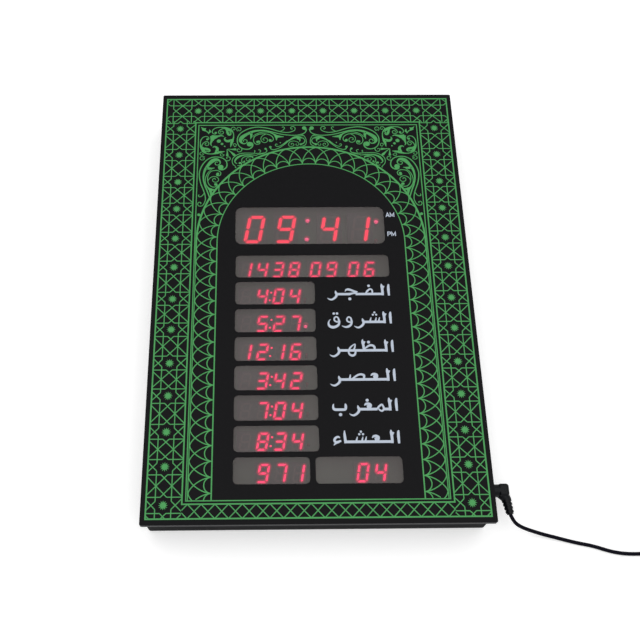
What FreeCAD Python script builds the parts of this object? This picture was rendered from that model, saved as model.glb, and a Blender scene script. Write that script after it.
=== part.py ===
import FreeCAD, Part

import math
import os

# Azan clock: a printed face with ten red LED displays on a shallow black case, lying on its back.
# Millimetres. X runs to the right across the face, Y towards the top of the face, Z out of the face.
# The origin is on the table, under the middle of the face.

# ---- Face ----
face_width = 300.0
face_height = 448.0
face_corner = 1.5
overlay_thickness = 0.3
panel_thickness = 4.7

# ---- Case: how the layers stack from the table up ----
foot_height = 3.5
cover_thickness = 2.5
frame_depth = 34.0
tape_thickness = 1.0
side_overhang = 2.0
end_overhang = 4.8
case_corner = 3.0
case_wall = 3.0
flange_width = 9.0
flange_thickness = 3.0
tape_inset = 1.0

cover_back_z = foot_height
frame_back_z = cover_back_z + cover_thickness
frame_front_z = frame_back_z + frame_depth
panel_back_z = frame_front_z + tape_thickness
overlay_back_z = panel_back_z + panel_thickness
face_z = overlay_back_z + overlay_thickness
case_width = face_width - 2 * side_overhang
case_height = face_height - 2 * end_overhang
wall_x = case_width / 2
wall_y = case_height / 2
flange_back_z = frame_front_z - flange_thickness

# ---- Windows in the print, and the digits behind them ----
time_window_width = 144.7
time_window_height = 41.5
time_window_corner = 6.5
time_window_x = -0.75
time_window_rise = 45.0
row_window_height = 23.6
row_window_corner = 4.0
bottom_row_margin = 46.0
row_pitch = 28.35
rows = 8
windows_left_x = -72.4
date_window_width = 145.7
prayer_window_width = 74.5
left_code_window_width = 66.0
right_code_window_x = -1.6
right_code_window_width = 74.9
digit_drop = 1.0

bottom_row_y = bottom_row_margin - face_height / 2
date_row_y = bottom_row_y + (rows - 1) * row_pitch
time_window_y = date_row_y + time_window_rise

module_gap = 0.4
big_module_depth = 10.5
big_module_width = 24.0
big_module_height = 37.0
big_digit_width = 16.4
big_digit_height = 30.6
big_digit_stroke = 3.0
small_module_depth = 8.0
small_module_height = 19.6
small_digit_pitch = 15.2
small_digit_width = 9.2
small_digit_height = 15.6
small_digit_stroke = 1.6
digit_slant = math.tan(math.radians(10))
segment_gap = 0.5
segment_depth = 0.3
module_clearance = 0.2
pin_width = 0.5

time_digit_drop = 1.25
hour_tens_x = -54.5
hour_units_x = -24.2
minute_tens_x = 18.4
minute_units_x = 48.6
time_digits_y = time_window_y - time_digit_drop
year_group_x = -39.4
month_group_x = 11.4
day_group_x = 47.6
area_code_x = -31.4
city_code_x = 47.0

led_radius = 2.0
led_body = 5.0
led_leg = 0.5
small_led_radius = 1.5
colon_x = -3.2
colon_y = time_digits_y
colon_spacing = 21.1
colon_lean = 1.2
am_pm_x = 64.7
am_rise = 7.75
am_y = time_window_y + am_rise
am_pm_spacing = 21.0
marker_led_x = -7.0
marker_led_drop = 3.3

# ---- Display board and what carries it ----
display_board_thickness = 1.6
display_board_width = 166.0
display_board_top_margin = 32.6
display_board_bottom_margin = 26.0
standoff_inset_x = 5.0
standoff_inset_y = 6.0
middle_standoff_rise = 128.0
standoff_across_flats = 5.5
standoff_pad_radius = 4.8
standoff_pad_thickness = 1.0
standoff_bore_depth = 7.0

board_front_z = panel_back_z - module_gap - big_module_depth
board_back_z = board_front_z - display_board_thickness
display_board_top_y = time_window_y + display_board_top_margin
display_board_bottom_y = bottom_row_y - display_board_bottom_margin
module_face_z = panel_back_z - module_gap

# ---- Fasteners ----
thread_clearance = 0.05
hole_clearance = 0.25
case_screw_radius = 1.4
case_screw_length = 11.0
case_screw_head_radius = 3.0
case_screw_head_height = 1.7
board_screw_radius = 1.3
board_screw_length = 5.0
board_screw_head_radius = 2.6
board_screw_head_height = 1.6
cross_slot_width = 0.7
case_boss_radius = 3.75
case_boss_inset = 6.5
case_boss_bore_depth = 14.0
side_screw_inset = 68.5
end_screw_inset = 69.5

# ---- Feet and wall hangers ----
foot_size = 18.0
foot_corner = 2.0
foot_inset = 1.0
hanger_x = 100.0
hanger_inset = 56.2
keyhole_radius = 4.7
keyhole_slot_width = 4.6
keyhole_slot_length = 10.0
hanger_plate_width = 30.0
hanger_plate_height = 30.0
hanger_plate_thickness = 1.2
rivet_radius = 1.5
rivet_head_radius = 2.8
rivet_head_height = 0.9
rivet_inset = 4.0

hanger_y = wall_y - hanger_inset

# ---- Loudspeaker ----
speaker_inset = 69.2
speaker_radius = 33.0
speaker_flange_thickness = 2.0
speaker_flange_width = 5.0
speaker_depth = 14.0
speaker_sheet = 1.0
magnet_radius = 16.0
magnet_lap = 2.0
magnet_height = 8.0
cone_throat_radius = 8.0
cone_depth = 7.0
cone_surround = 2.5
cone_sheet = 0.6
cone_gap = 0.3
dust_cap_rise = 2.5
grille_hole_radius = 1.6
grille_ring_pitch = 6.2
grille_rings = 4
speaker_post_radius = 3.2
speaker_post_gap = 0.5
speaker_screw_head_radius = 5.0
speaker_terminal_width = 9.0
speaker_terminal_reach = 4.0
speaker_terminal_thickness = 2.0
speaker_post_floor = 0.8

speaker_y = wall_y - speaker_inset

# ---- Control board ----
control_board_width = 120.0
control_board_height = 80.0
control_board_thickness = 1.6
control_board_x = 62.0
control_board_inset = 81.2
control_post_height = 6.0
control_post_radius = 3.2
control_post_inset = 5.0
chip_size = 14.0
chip_thickness = 2.0
chip_x = 58.0
coin_radius = 10.0
coin_thickness = 3.2
coin_x = 28.0
coin_holder_wall = 1.5
coin_holder_floor = 1.0
capacitor_radius = 5.0
capacitor_height = 12.0
capacitor_x = 92.0
capacitor_spacing = 13.0
ribbon_width = 25.0
ribbon_thickness = 1.0
ribbon_x = 90.0
ribbon_rise_length = 26.0
ribbon_end_length = 14.0
ribbon_connector_depth = 8.0
ribbon_connector_height = 6.0
ribbon_connector_margin = 2.0
wire_connector_width = 8.0
wire_connector_depth = 6.0
wire_connector_height = 6.0
wire_radius = 0.7
wire_spacing = 1.6
wire_lead = 12.0
wire_bow = 9.0
wire_lift = 5.0
wire_steps = 6
board_edge_margin = 2.0
speaker_connector_x = 40.0
power_connector_x = 105.0

control_board_y = control_board_inset - wall_y
control_board_back_z = frame_back_z + control_post_height
control_board_front_z = control_board_back_z + control_board_thickness

# ---- Setting buttons in the left wall ----
button_names = ["menu_button", "up_button", "down_button", "set_button", "stop_button"]
button_pitch = 14.0
buttons_inset = 129.2
buttons_z = 22.0
button_radius = 3.5
button_clearance = 0.2
button_travel = 0.5
button_reach = 1.5
button_dome = 0.5
button_flange_radius = 4.6
button_flange_thickness = 1.0
button_stem_radius = 1.6
switch_size = 6.0
switch_height = 3.5
switch_well_radius = 1.85
switch_well_depth = 1.2
switch_stem_entry = 0.5
button_board_thickness = 1.6
button_board_margin = 12.0
button_board_height = 14.0
button_boss_radius = 3.0
button_boss_bore_depth = 5.0

buttons_y = buttons_inset - wall_y
button_flange_face_x = -wall_x + case_wall + button_clearance
switch_face_x = button_flange_face_x + button_flange_thickness + button_travel + 2.0
button_board_face_x = switch_face_x + switch_height
button_board_back_x = button_board_face_x + button_board_thickness

# ---- Power socket in the right wall, and the plug in it ----
jack_inset = 28.1
jack_z = 22.0
jack_thread_radius = 4.0
jack_hole_clearance = 0.15
jack_reach = 2.5
jack_flange_radius = 6.0
jack_flange_thickness = 1.5
jack_body_length = 12.0
jack_body_radius = 5.5
jack_bore_radius = 2.85
jack_bore_depth = 14.0
jack_pin_radius = 1.0
jack_nut_across_flats = 10.5
jack_nut_thickness = 2.0
barrel_radius = 2.75
barrel_length = 11.0
barrel_bore_radius = 1.3
plug_gap = 0.2
plug_sleeve_radius = 5.6
plug_sleeve_length = 7.6
plug_head_size = 11.2
plug_head_length = 17.0
plug_head_round = 2.6
plug_leg_setback = 12.5
plug_leg_rise = 3.7
plug_leg_end_radius = 4.4
plug_leg_length = 11.5
plug_shoulder_length = 5.2
plug_shoulder_shift = 2.4
plug_shoulder_half_width = 5.9
plug_shoulder_half_depth = 5.3
relief_length = 13.0
relief_rib_radius = 4.3
relief_end_radius = 3.6
relief_ribs = 4
relief_groove = 0.7

jack_y = jack_inset - wall_y
jack_front_x = wall_x + jack_reach
plug_back_x = jack_front_x + plug_gap
plug_leg_x = plug_back_x + plug_leg_setback
plug_leg_lean = FreeCAD.Vector(4.4, -22.5, -2.6)

# ---- Power cord: the stretch from the plug, the put-away coil, and the mains adapter ----
cord_radius = 1.65
coil_x = 320.0
coil_y = -221.3
coil_outer_turn = 21.9
coil_inner_turn = 13.2
coil_layers = 4
coil_layer_pitch = 3.35
tie_thickness = 0.6
tie_clearance = 0.2
tie_width = 9.0
tie_corner = 1.0

coil_bottom_z = tie_thickness + tie_clearance
coil_top_z = coil_bottom_z + coil_layers * coil_layer_pitch

cord_route = [(169.7, -216.0, 18.2), (174.2, -219.8, 15.6), (181.0, -221.9, 11.7),
              (189.0, -223.5, 7.6), (199.0, -225.7, 4.2), (212.4, -228.7, 2.2),
              (227.0, -232.6, 1.75), (242.0, -235.5, 1.75), (257.3, -240.8, 1.75),
              (272.3, -242.9, 1.75), (290.0, -242.3, 1.75), (309.0, -243.2, 2.1)]
tail_route = [(341.9, -210.8, 12.4), (342.9, -198.0, 11.2), (345.0, -185.0, 5.6),
              (348.0, -172.0, 2.0), (350.8, -159.0, 3.4), (352.0, -146.5, 8.0)]

adapter_x = 352.0
adapter_front_y = -120.0
adapter_width = 46.0
adapter_length = 64.0
adapter_depth = 28.0
adapter_round = 5.0
adapter_lead_z = 8.0
adapter_relief_length = 14.0
adapter_relief_start_radius = 3.6
live_pin_width = 6.4
live_pin_thickness = 4.0
live_pin_length = 17.7
live_pin_spacing = 22.2
earth_pin_width = 4.0
earth_pin_thickness = 8.0
earth_pin_length = 22.7
earth_pin_spacing = 22.2
pin_tip_chamfer = 1.0
pins_inset = 18.0
adapter_seam_z = 19.0
adapter_seam_width = 0.6
adapter_seam_depth = 0.5

X_AXIS = FreeCAD.Vector(1, 0, 0)
Z_AXIS = FreeCAD.Vector(0, 0, 1)


# ---- Shapes that several pieces share ----
def block(x0, x1, y0, y1, z0, z1):
    """A box between two corners."""
    return Part.makeBox(x1 - x0, y1 - y0, z1 - z0, FreeCAD.Vector(x0, y0, z0))


def rod(x, y, z0, z1, radius):
    """An upright cylinder."""
    return Part.makeCylinder(radius, z1 - z0, FreeCAD.Vector(x, y, z0))


def rod_x(x0, x1, y, z, radius):
    """A cylinder along X."""
    return Part.makeCylinder(radius, x1 - x0, FreeCAD.Vector(x0, y, z), X_AXIS)


def cone_between(start, end, start_radius, end_radius):
    """A cone or cylinder from one point to another."""
    along = end - start
    if abs(start_radius - end_radius) < 1e-6:
        return Part.makeCylinder(start_radius, along.Length, start, along)
    return Part.makeCone(start_radius, end_radius, along.Length, start, along)


def rounded_outline(width, height, corner, x=0.0, y=0.0, z=0.0):
    """A closed rectangle with quarter-circle corners, in a plane of constant Z."""
    half_x = width / 2 - corner
    half_y = height / 2 - corner
    diagonal = corner * math.sqrt(0.5)
    edges = []
    centres = [(1, 1), (-1, 1), (-1, -1), (1, -1)]
    for turn, (side_x, side_y) in enumerate(centres):
        centre = FreeCAD.Vector(x + side_x * half_x, y + side_y * half_y, z)
        step_in = FreeCAD.Vector(math.cos(turn * math.pi / 2), math.sin(turn * math.pi / 2), 0)
        step_out = FreeCAD.Vector(-step_in.y, step_in.x, 0)
        middle = centre + FreeCAD.Vector(side_x * diagonal, side_y * diagonal, 0)
        start = centre + step_in * corner
        end = centre + step_out * corner
        edges.append(Part.Arc(start, middle, end).toShape())
        next_x, next_y = centres[(turn + 1) % 4]
        next_centre = FreeCAD.Vector(x + next_x * half_x, y + next_y * half_y, z)
        edges.append(Part.LineSegment(end, next_centre + step_out * corner).toShape())
    return Part.Wire(edges)


def rounded_plate(width, height, corner, z0, z1, x=0.0, y=0.0):
    """A flat plate with rounded corners."""
    return Part.Face(rounded_outline(width, height, corner, x, y, z0)).extrude(Z_AXIS * (z1 - z0))


def hexagon_prism(across_flats, z0, z1, x=0.0, y=0.0):
    """An upright hexagonal bar."""
    radius = across_flats / math.sqrt(3)
    corners = [FreeCAD.Vector(x + radius * math.cos(turn * math.pi / 3),
                              y + radius * math.sin(turn * math.pi / 3), z0) for turn in range(7)]
    return Part.Face(Part.makePolygon(corners)).extrude(Z_AXIS * (z1 - z0))


def turned(profile, x=0.0, y=0.0):
    """A solid of revolution about an upright axis, from (radius, z) corners."""
    corners = [FreeCAD.Vector(x + radius, y, z) for radius, z in profile]
    face = Part.Face(Part.makePolygon(corners + corners[:1]))
    return face.revolve(FreeCAD.Vector(x, y, 0), Z_AXIS, 360)


def pan_screw(seat, direction, shank_radius, length, head_radius, head_height):
    """A pan-head screw with a cross slot. The head stands on the seat, against the direction."""
    shank = Part.makeCylinder(shank_radius, length)
    head = Part.makeCylinder(head_radius, head_height, FreeCAD.Vector(0, 0, -head_height))
    head = head.makeFillet(head_height * 0.45, [head.Edges[2]])
    slot_depth = head_height * 0.5
    slot_length = head_radius * 1.1
    half = cross_slot_width / 2
    slots = block(-slot_length / 2, slot_length / 2, -half, half, -head_height, slot_depth - head_height)
    slots = slots.fuse(slots.rotated(FreeCAD.Vector(0, 0, 0), Z_AXIS, 90))
    screw = shank.fuse(head).cut(slots).removeSplitter()
    screw.Placement = FreeCAD.Placement(seat, FreeCAD.Rotation(Z_AXIS, direction))
    return screw


def arc_route(points):
    """Straight runs joined by tangent arcs. An arc's radius is 0.45 of its shorter run over tan(turn / 2)."""
    points = [FreeCAD.Vector(*point) for point in points]
    edges = []
    radii = []
    start = points[0]
    for before, corner, after in zip(points, points[1:], points[2:]):
        run_in = (corner - before).normalize()
        run_out = (after - corner).normalize()
        turn = run_in.getAngle(run_out)
        reach = 0.45 * min((corner - before).Length, (after - corner).Length)
        radii.append(reach / math.tan(turn / 2))
        arc_start = corner - run_in * reach
        arc_end = corner + run_out * reach
        inward = (run_out - run_in).normalize()
        sagitta_point = corner + inward * radii[-1] * (1 / math.cos(turn / 2) - 1)
        edges.append(Part.LineSegment(start, arc_start).toShape())
        edges.append(Part.Arc(arc_start, sagitta_point, arc_end).toShape())
        start = arc_end
    edges.append(Part.LineSegment(start, points[-1]).toShape())
    return Part.Wire(edges), radii


def tube_along(points, radius):
    """A round tube that follows arc_route. Its volume is checked against section times length."""
    wire, radii = arc_route(points)
    start = FreeCAD.Vector(*points[0])
    along = FreeCAD.Vector(*points[1]) - start
    circle = Part.Wire(Part.makeCircle(radius, start, along))
    tube = wire.makePipeShell([circle], True, False)
    expected = math.pi * radius ** 2 * wire.Length
    print("tube: length %.1f, smallest arc radius %.1f, volume ratio %.4f"
          % (wire.Length, min(radii), tube.Volume / expected))
    return tube


def wire_pair(start, start_way, end, end_way, bow_way=FreeCAD.Vector(), steps=1):
    """Two wires side by side. They leave each end square to its face, and bow once each way between."""
    wires = []
    for side in (-1, 1):
        start_side = Z_AXIS.cross(start_way) * (side * wire_spacing / 2)
        end_side = Z_AXIS.cross(end_way) * (-side * wire_spacing / 2)
        first = start + start_side + start_way * wire_lead
        last = end + end_side + end_way * wire_lead
        points = [start + start_side, first]
        for step in range(1, steps):
            share = step / steps
            swing = math.sin(2 * math.pi * share) * wire_bow
            points.append(first + (last - first) * share + bow_way * swing
                          - Z_AXIS * wire_lift * math.sin(math.pi * share))
        points += [last, end + end_side]
        wires.append(tube_along([tuple(point) for point in points], wire_radius))
    return wires


def write(name, *solids):
    """Each node is one STEP file, which holds one or more closed solids."""
    shape = solids[0] if len(solids) == 1 else Part.makeCompound(list(solids))
    shape.exportStep("parts/" + name + ".step")


# ---- Where the windows and rows are ----
def row_y(row):
    """Rows count down from the date: 0 is the date, 1 to 6 are the prayers, 7 holds the two codes."""
    return date_row_y - row * row_pitch


def window_prisms(z0, z1):
    """The ten windows, as prisms to cut out of a sheet."""
    cuts = [rounded_plate(time_window_width, time_window_height, time_window_corner, z0, z1,
                          time_window_x, time_window_y)]

    def row_window(left_x, width, row):
        return rounded_plate(width, row_window_height, row_window_corner, z0, z1,
                             left_x + width / 2, row_y(row))

    cuts.append(row_window(windows_left_x, date_window_width, 0))
    for row in range(1, 7):
        cuts.append(row_window(windows_left_x, prayer_window_width, row))
    cuts.append(row_window(windows_left_x, left_code_window_width, 7))
    cuts.append(row_window(right_code_window_x, right_code_window_width, 7))
    return cuts


def case_screw_places():
    """The ten screws that hold the back cover: three down each side and two across each end."""
    side_x = wall_x - case_boss_inset
    end_y = wall_y - case_boss_inset
    outer_y = wall_y - side_screw_inset
    outer_x = wall_x - end_screw_inset
    places = [(side * side_x, y) for side in (-1, 1) for y in (-outer_y, 0.0, outer_y)]
    places += [(x, end * end_y) for end in (-1, 1) for x in (-outer_x, outer_x)]
    return places


def standoff_places():
    """The six standoffs between the face panel and the display board."""
    x = display_board_width / 2 - standoff_inset_x
    ys = (display_board_top_y - standoff_inset_y, bottom_row_y + middle_standoff_rise,
          display_board_bottom_y + standoff_inset_y)
    return [(side * x, y) for side in (-1, 1) for y in ys]


def button_y(index):
    """Buttons count from the top of the clock down."""
    return buttons_y + (len(button_names) / 2 - 0.5 - index) * button_pitch


def button_boss_ys():
    """The two bosses that carry the button board, one past each end of the row."""
    reach = (len(button_names) - 1) * button_pitch / 2 + button_board_margin - button_boss_radius - 0.5
    return [buttons_y - reach, buttons_y + reach]


def control_post_places():
    """The four posts of the back cover that carry the control board."""
    reach_x = control_board_width / 2 - control_post_inset
    reach_y = control_board_height / 2 - control_post_inset
    return [(control_board_x + a * reach_x, control_board_y + b * reach_y) for a in (-1, 1) for b in (-1, 1)]


def speaker_post_places():
    """The four posts of the back cover round the loudspeaker's rim."""
    reach = (speaker_radius + speaker_post_gap + speaker_post_radius) * math.sqrt(0.5)
    return [(a * reach, speaker_y + b * reach) for a in (-1, 1) for b in (-1, 1)]


# ---- Face ----
def make_face():
    """The tinted panel, the printed film on it and the foam tape that bonds it to the case."""
    panel = rounded_plate(face_width, face_height, face_corner, panel_back_z, overlay_back_z)
    write("front_panel", panel)
    overlay = rounded_plate(face_width, face_height, face_corner, overlay_back_z, face_z)
    write("printed_overlay", overlay.cut(window_prisms(overlay_back_z - 1, face_z + 1)))
    outer = rounded_plate(case_width - 2 * tape_inset, case_height - 2 * tape_inset, case_corner,
                          frame_front_z, panel_back_z)
    tape_width = case_wall + flange_width - 2 * tape_inset
    inner = rounded_plate(case_width - 2 * (tape_inset + tape_width),
                          case_height - 2 * (tape_inset + tape_width), case_corner,
                          frame_front_z - 1, panel_back_z + 1)
    write("panel_tape", outer.cut(inner))


# ---- Case ----
def make_case_frame():
    """Four walls with a front flange, screw bosses, the button holes and bosses, and the socket's hole."""
    frame = rounded_plate(case_width, case_height, case_corner, frame_back_z, frame_front_z)
    inside_width = case_width - 2 * case_wall
    inside_height = case_height - 2 * case_wall
    frame = frame.cut(rounded_plate(inside_width, inside_height, 1.0, frame_back_z - 1, flange_back_z))
    frame = frame.cut(rounded_plate(inside_width - 2 * flange_width, inside_height - 2 * flange_width, 2.0,
                                    flange_back_z - 1, frame_front_z + 1))
    bosses = []
    bores = []
    for x, y in case_screw_places():
        bosses.append(rod(x, y, frame_back_z, flange_back_z + 0.5, case_boss_radius))
        bores.append(rod(x, y, frame_back_z - 1, frame_back_z + case_boss_bore_depth,
                         case_screw_radius + thread_clearance))
    inside_x = -wall_x + case_wall
    for y in button_boss_ys():
        bosses.append(rod_x(inside_x - 0.5, button_board_face_x, y, buttons_z, button_boss_radius))
        bores.append(rod_x(button_board_face_x - button_boss_bore_depth, button_board_face_x + 1, y,
                           buttons_z, board_screw_radius + thread_clearance))
    for index in range(len(button_names)):
        bores.append(rod_x(-wall_x - 1, inside_x + 1, button_y(index), buttons_z,
                           button_radius + button_clearance))
    bores.append(rod_x(wall_x - case_wall - 1, wall_x + 1, jack_y, jack_z,
                       jack_thread_radius + jack_hole_clearance))
    write("case_frame", frame.fuse(bosses).cut(bores).removeSplitter())


def keyhole(x, z0, z1):
    """A round entry for a screw head, and the slot above it that the clock then hangs from."""
    slot = block(x - keyhole_slot_width / 2, x + keyhole_slot_width / 2,
                 hanger_y, hanger_y + keyhole_slot_length, z0, z1)
    slot_end = rod(x, hanger_y + keyhole_slot_length, z0, z1, keyhole_slot_width / 2)
    return rod(x, hanger_y, z0, z1, keyhole_radius).fuse([slot, slot_end])


def rivet_places(x):
    """Two rivets, at opposite corners of a hanger plate."""
    reach_x = hanger_plate_width / 2 - rivet_inset
    reach_y = hanger_plate_height / 2 - rivet_inset
    plate_y = hanger_y + keyhole_slot_length / 2
    return [(x - reach_x, plate_y - reach_y), (x + reach_x, plate_y + reach_y)]


def make_back_cover():
    """The flat back, with moulded posts, screw holes, keyholes and the loudspeaker's grille."""
    cover = rounded_plate(case_width, case_height, case_corner, cover_back_z, frame_back_z)
    posts = []
    holes = []
    below = cover_back_z - 1
    above = frame_back_z + 1
    for x, y in control_post_places():
        posts.append(rod(x, y, frame_back_z - 0.5, control_board_back_z, control_post_radius))
        holes.append(rod(x, y, frame_back_z, control_board_back_z + 1, board_screw_radius + thread_clearance))
    for x, y in speaker_post_places():
        top = frame_back_z + speaker_flange_thickness
        posts.append(rod(x, y, frame_back_z - 0.5, top, speaker_post_radius))
        holes.append(rod(x, y, cover_back_z + speaker_post_floor, top + 1,
                         board_screw_radius + thread_clearance))
    for x, y in case_screw_places():
        holes.append(rod(x, y, below, above, case_screw_radius + hole_clearance))
    for x in (-hanger_x, hanger_x):
        holes.append(keyhole(x, below, above))
        for rivet_x, rivet_y in rivet_places(x):
            holes.append(rod(rivet_x, rivet_y, below, above, rivet_radius + thread_clearance))
    for ring in range(grille_rings):
        count = max(1, 6 * ring)
        for step in range(count):
            turn = 2 * math.pi * step / count
            holes.append(rod(ring * grille_ring_pitch * math.cos(turn),
                             speaker_y + ring * grille_ring_pitch * math.sin(turn),
                             below, above, grille_hole_radius))
    write("back_cover", cover.fuse(posts).cut(holes).removeSplitter())


def make_case_trim():
    """Cover screws, rubber feet, and the two steel hanger plates with their rivets."""
    screws = [pan_screw(FreeCAD.Vector(x, y, cover_back_z), Z_AXIS, case_screw_radius, case_screw_length,
                        case_screw_head_radius, case_screw_head_height) for x, y in case_screw_places()]
    write("cover_screws", *screws)
    reach_x = wall_x - foot_inset - foot_size / 2
    reach_y = wall_y - foot_inset - foot_size / 2
    feet = [rounded_plate(foot_size, foot_size, foot_corner, 0.0, foot_height, a * reach_x, b * reach_y)
            for a in (-1, 1) for b in (-1, 1)]
    write("rubber_feet", *feet)
    plates = []
    rivets = []
    plate_y = hanger_y + keyhole_slot_length / 2
    plate_top_z = frame_back_z + hanger_plate_thickness
    for x in (-hanger_x, hanger_x):
        plate = rounded_plate(hanger_plate_width, hanger_plate_height, 2.0, frame_back_z, plate_top_z,
                              x, plate_y)
        cuts = [keyhole(x, frame_back_z - 1, plate_top_z + 1)]
        for rivet_x, rivet_y in rivet_places(x):
            cuts.append(rod(rivet_x, rivet_y, frame_back_z - 1, plate_top_z + 1,
                            rivet_radius + thread_clearance))
            shank = rod(rivet_x, rivet_y, cover_back_z, plate_top_z, rivet_radius)
            outer_head = rod(rivet_x, rivet_y, cover_back_z - rivet_head_height, cover_back_z,
                             rivet_head_radius)
            inner_head = rod(rivet_x, rivet_y, plate_top_z, plate_top_z + rivet_head_height,
                             rivet_head_radius)
            rivets.append(shank.fuse([outer_head, inner_head]))
        plates.append(plate.cut(cuts))
    write("hanger_plates", *plates)
    write("hanger_rivets", *rivets)


# ---- Displays ----
def segment_outlines(width, height, stroke):
    """The seven six-sided bars of a digit, upright and centred on the origin, in the order A to G."""
    half_x = width / 2 - stroke / 2
    half_y = height / 2 - stroke / 2
    half = stroke / 2
    flat = segment_gap / 2

    def across(y):
        start = -half_x + flat
        end = half_x - flat
        return [(start, y), (start + half, y + half), (end - half, y + half),
                (end, y), (end - half, y - half), (start + half, y - half)]

    def upright(x, y0, y1):
        start = y0 + flat
        end = y1 - flat
        return [(x, start), (x + half, start + half), (x + half, end - half),
                (x, end), (x - half, end - half), (x - half, start + half)]

    return [across(half_y), upright(half_x, 0, half_y), upright(half_x, -half_y, 0), across(-half_y),
            upright(-half_x, -half_y, 0), upright(-half_x, 0, half_y), across(0)]


def segment_recesses(x, y, width, height, stroke):
    """The shallow light wells of one slanted digit, as prisms to cut out of a module's face."""
    wells = []
    for outline in segment_outlines(width, height, stroke):
        corners = [FreeCAD.Vector(x + px + py * digit_slant, y + py, module_face_z - segment_depth)
                   for px, py in outline]
        face = Part.Face(Part.makePolygon(corners + corners[:1]))
        wells.append(face.extrude(Z_AXIS * (segment_depth + 1)))
    return wells


def module_pins(x, y, width, height, count, top_z):
    """Two rows of square pins from the back of a module to the display board."""
    pins = []
    for index in range(count):
        pin_x = x + (index + 0.5 - count / 2) * width / count
        for side in (-1, 1):
            pin_y = y + side * (height / 2 - 2.0)
            pins.append(block(pin_x - pin_width / 2, pin_x + pin_width / 2, pin_y - pin_width / 2,
                              pin_y + pin_width / 2, board_front_z, top_z))
    return pins


def small_module(x, y, digits):
    """A row of small digits in one housing, on pins above the board."""
    width = digits * small_digit_pitch - module_clearance
    back_z = module_face_z - small_module_depth
    body = block(x - width / 2, x + width / 2, y - small_module_height / 2, y + small_module_height / 2,
                 back_z, module_face_z)
    wells = []
    for index in range(digits):
        digit_x = x + (index + 0.5 - digits / 2) * small_digit_pitch
        wells += segment_recesses(digit_x, y, small_digit_width, small_digit_height, small_digit_stroke)
    return body.fuse(module_pins(x, y, width, small_module_height, 3 * digits, back_z + 0.2)).cut(wells)


def big_module(x):
    """One large digit of the time, seated on the board."""
    body = block(x - big_module_width / 2, x + big_module_width / 2, time_digits_y - big_module_height / 2,
                 time_digits_y + big_module_height / 2, board_front_z, module_face_z)
    return body.cut(segment_recesses(x, time_digits_y, big_digit_width, big_digit_height, big_digit_stroke))


def led(x, y, radius):
    """A round LED with a domed top, on two legs above the board."""
    dome_z = module_face_z - radius
    body = rod(x, y, dome_z - led_body, dome_z, radius)
    dome = Part.makeSphere(radius, FreeCAD.Vector(x, y, dome_z), Z_AXIS, 0, 90, 360)
    leg_xs = [x - radius / 2, x + radius / 2]
    legs = [block(leg_x - led_leg / 2, leg_x + led_leg / 2, y - led_leg / 2, y + led_leg / 2,
                  board_front_z, dome_z - led_body + 0.2) for leg_x in leg_xs]
    return body.fuse([dome] + legs).removeSplitter()


def make_displays():
    """Every LED display module and indicator LED."""
    time_digit_xs = [hour_tens_x, hour_units_x, minute_tens_x, minute_units_x]
    write("time_digit_modules", *[big_module(x) for x in time_digit_xs])
    date_y = row_y(0) - digit_drop
    write("date_year_module", small_module(year_group_x, date_y, 4))
    write("date_month_module", small_module(month_group_x, date_y, 2))
    write("date_day_module", small_module(day_group_x, date_y, 2))
    prayers = ["fajr", "sunrise", "dhuhr", "asr", "maghrib", "isha"]
    for row, prayer in enumerate(prayers, start=1):
        write(prayer + "_module", small_module(year_group_x, row_y(row) - digit_drop, 4))
    write("area_code_module", small_module(area_code_x, row_y(7) - digit_drop, 3))
    write("city_code_module", small_module(city_code_x, row_y(7) - digit_drop, 2))
    colon = [led(colon_x + side * colon_lean / 2, colon_y + side * colon_spacing / 2, led_radius)
             for side in (-1, 1)]
    am_pm = [led(am_pm_x - step * colon_lean, am_y - step * am_pm_spacing, led_radius) for step in (0, 1)]
    write("time_leds", *colon, *am_pm)
    write("prayer_leds", *[led(marker_led_x, row_y(row) - marker_led_drop, small_led_radius)
                           for row in range(1, 7)])


def make_display_board():
    """The board behind the displays, its standoffs on the panel and the screws from behind."""
    board = block(-display_board_width / 2, display_board_width / 2, display_board_bottom_y,
                  display_board_top_y, board_back_z, board_front_z)
    holes = [rod(x, y, board_back_z - 1, board_front_z + 1, board_screw_radius + hole_clearance)
             for x, y in standoff_places()]
    write("display_board", board.cut(holes))
    standoffs = []
    screws = []
    for x, y in standoff_places():
        pillar = hexagon_prism(standoff_across_flats, board_front_z, panel_back_z, x, y)
        pad = rod(x, y, panel_back_z - standoff_pad_thickness, panel_back_z, standoff_pad_radius)
        bore = rod(x, y, board_front_z - 1, board_front_z + standoff_bore_depth,
                   board_screw_radius + thread_clearance)
        standoffs.append(pillar.fuse(pad).cut(bore))
        screws.append(pan_screw(FreeCAD.Vector(x, y, board_back_z), Z_AXIS, board_screw_radius,
                                board_screw_length, board_screw_head_radius, board_screw_head_height))
    write("board_standoffs", *standoffs)
    return screws


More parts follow.
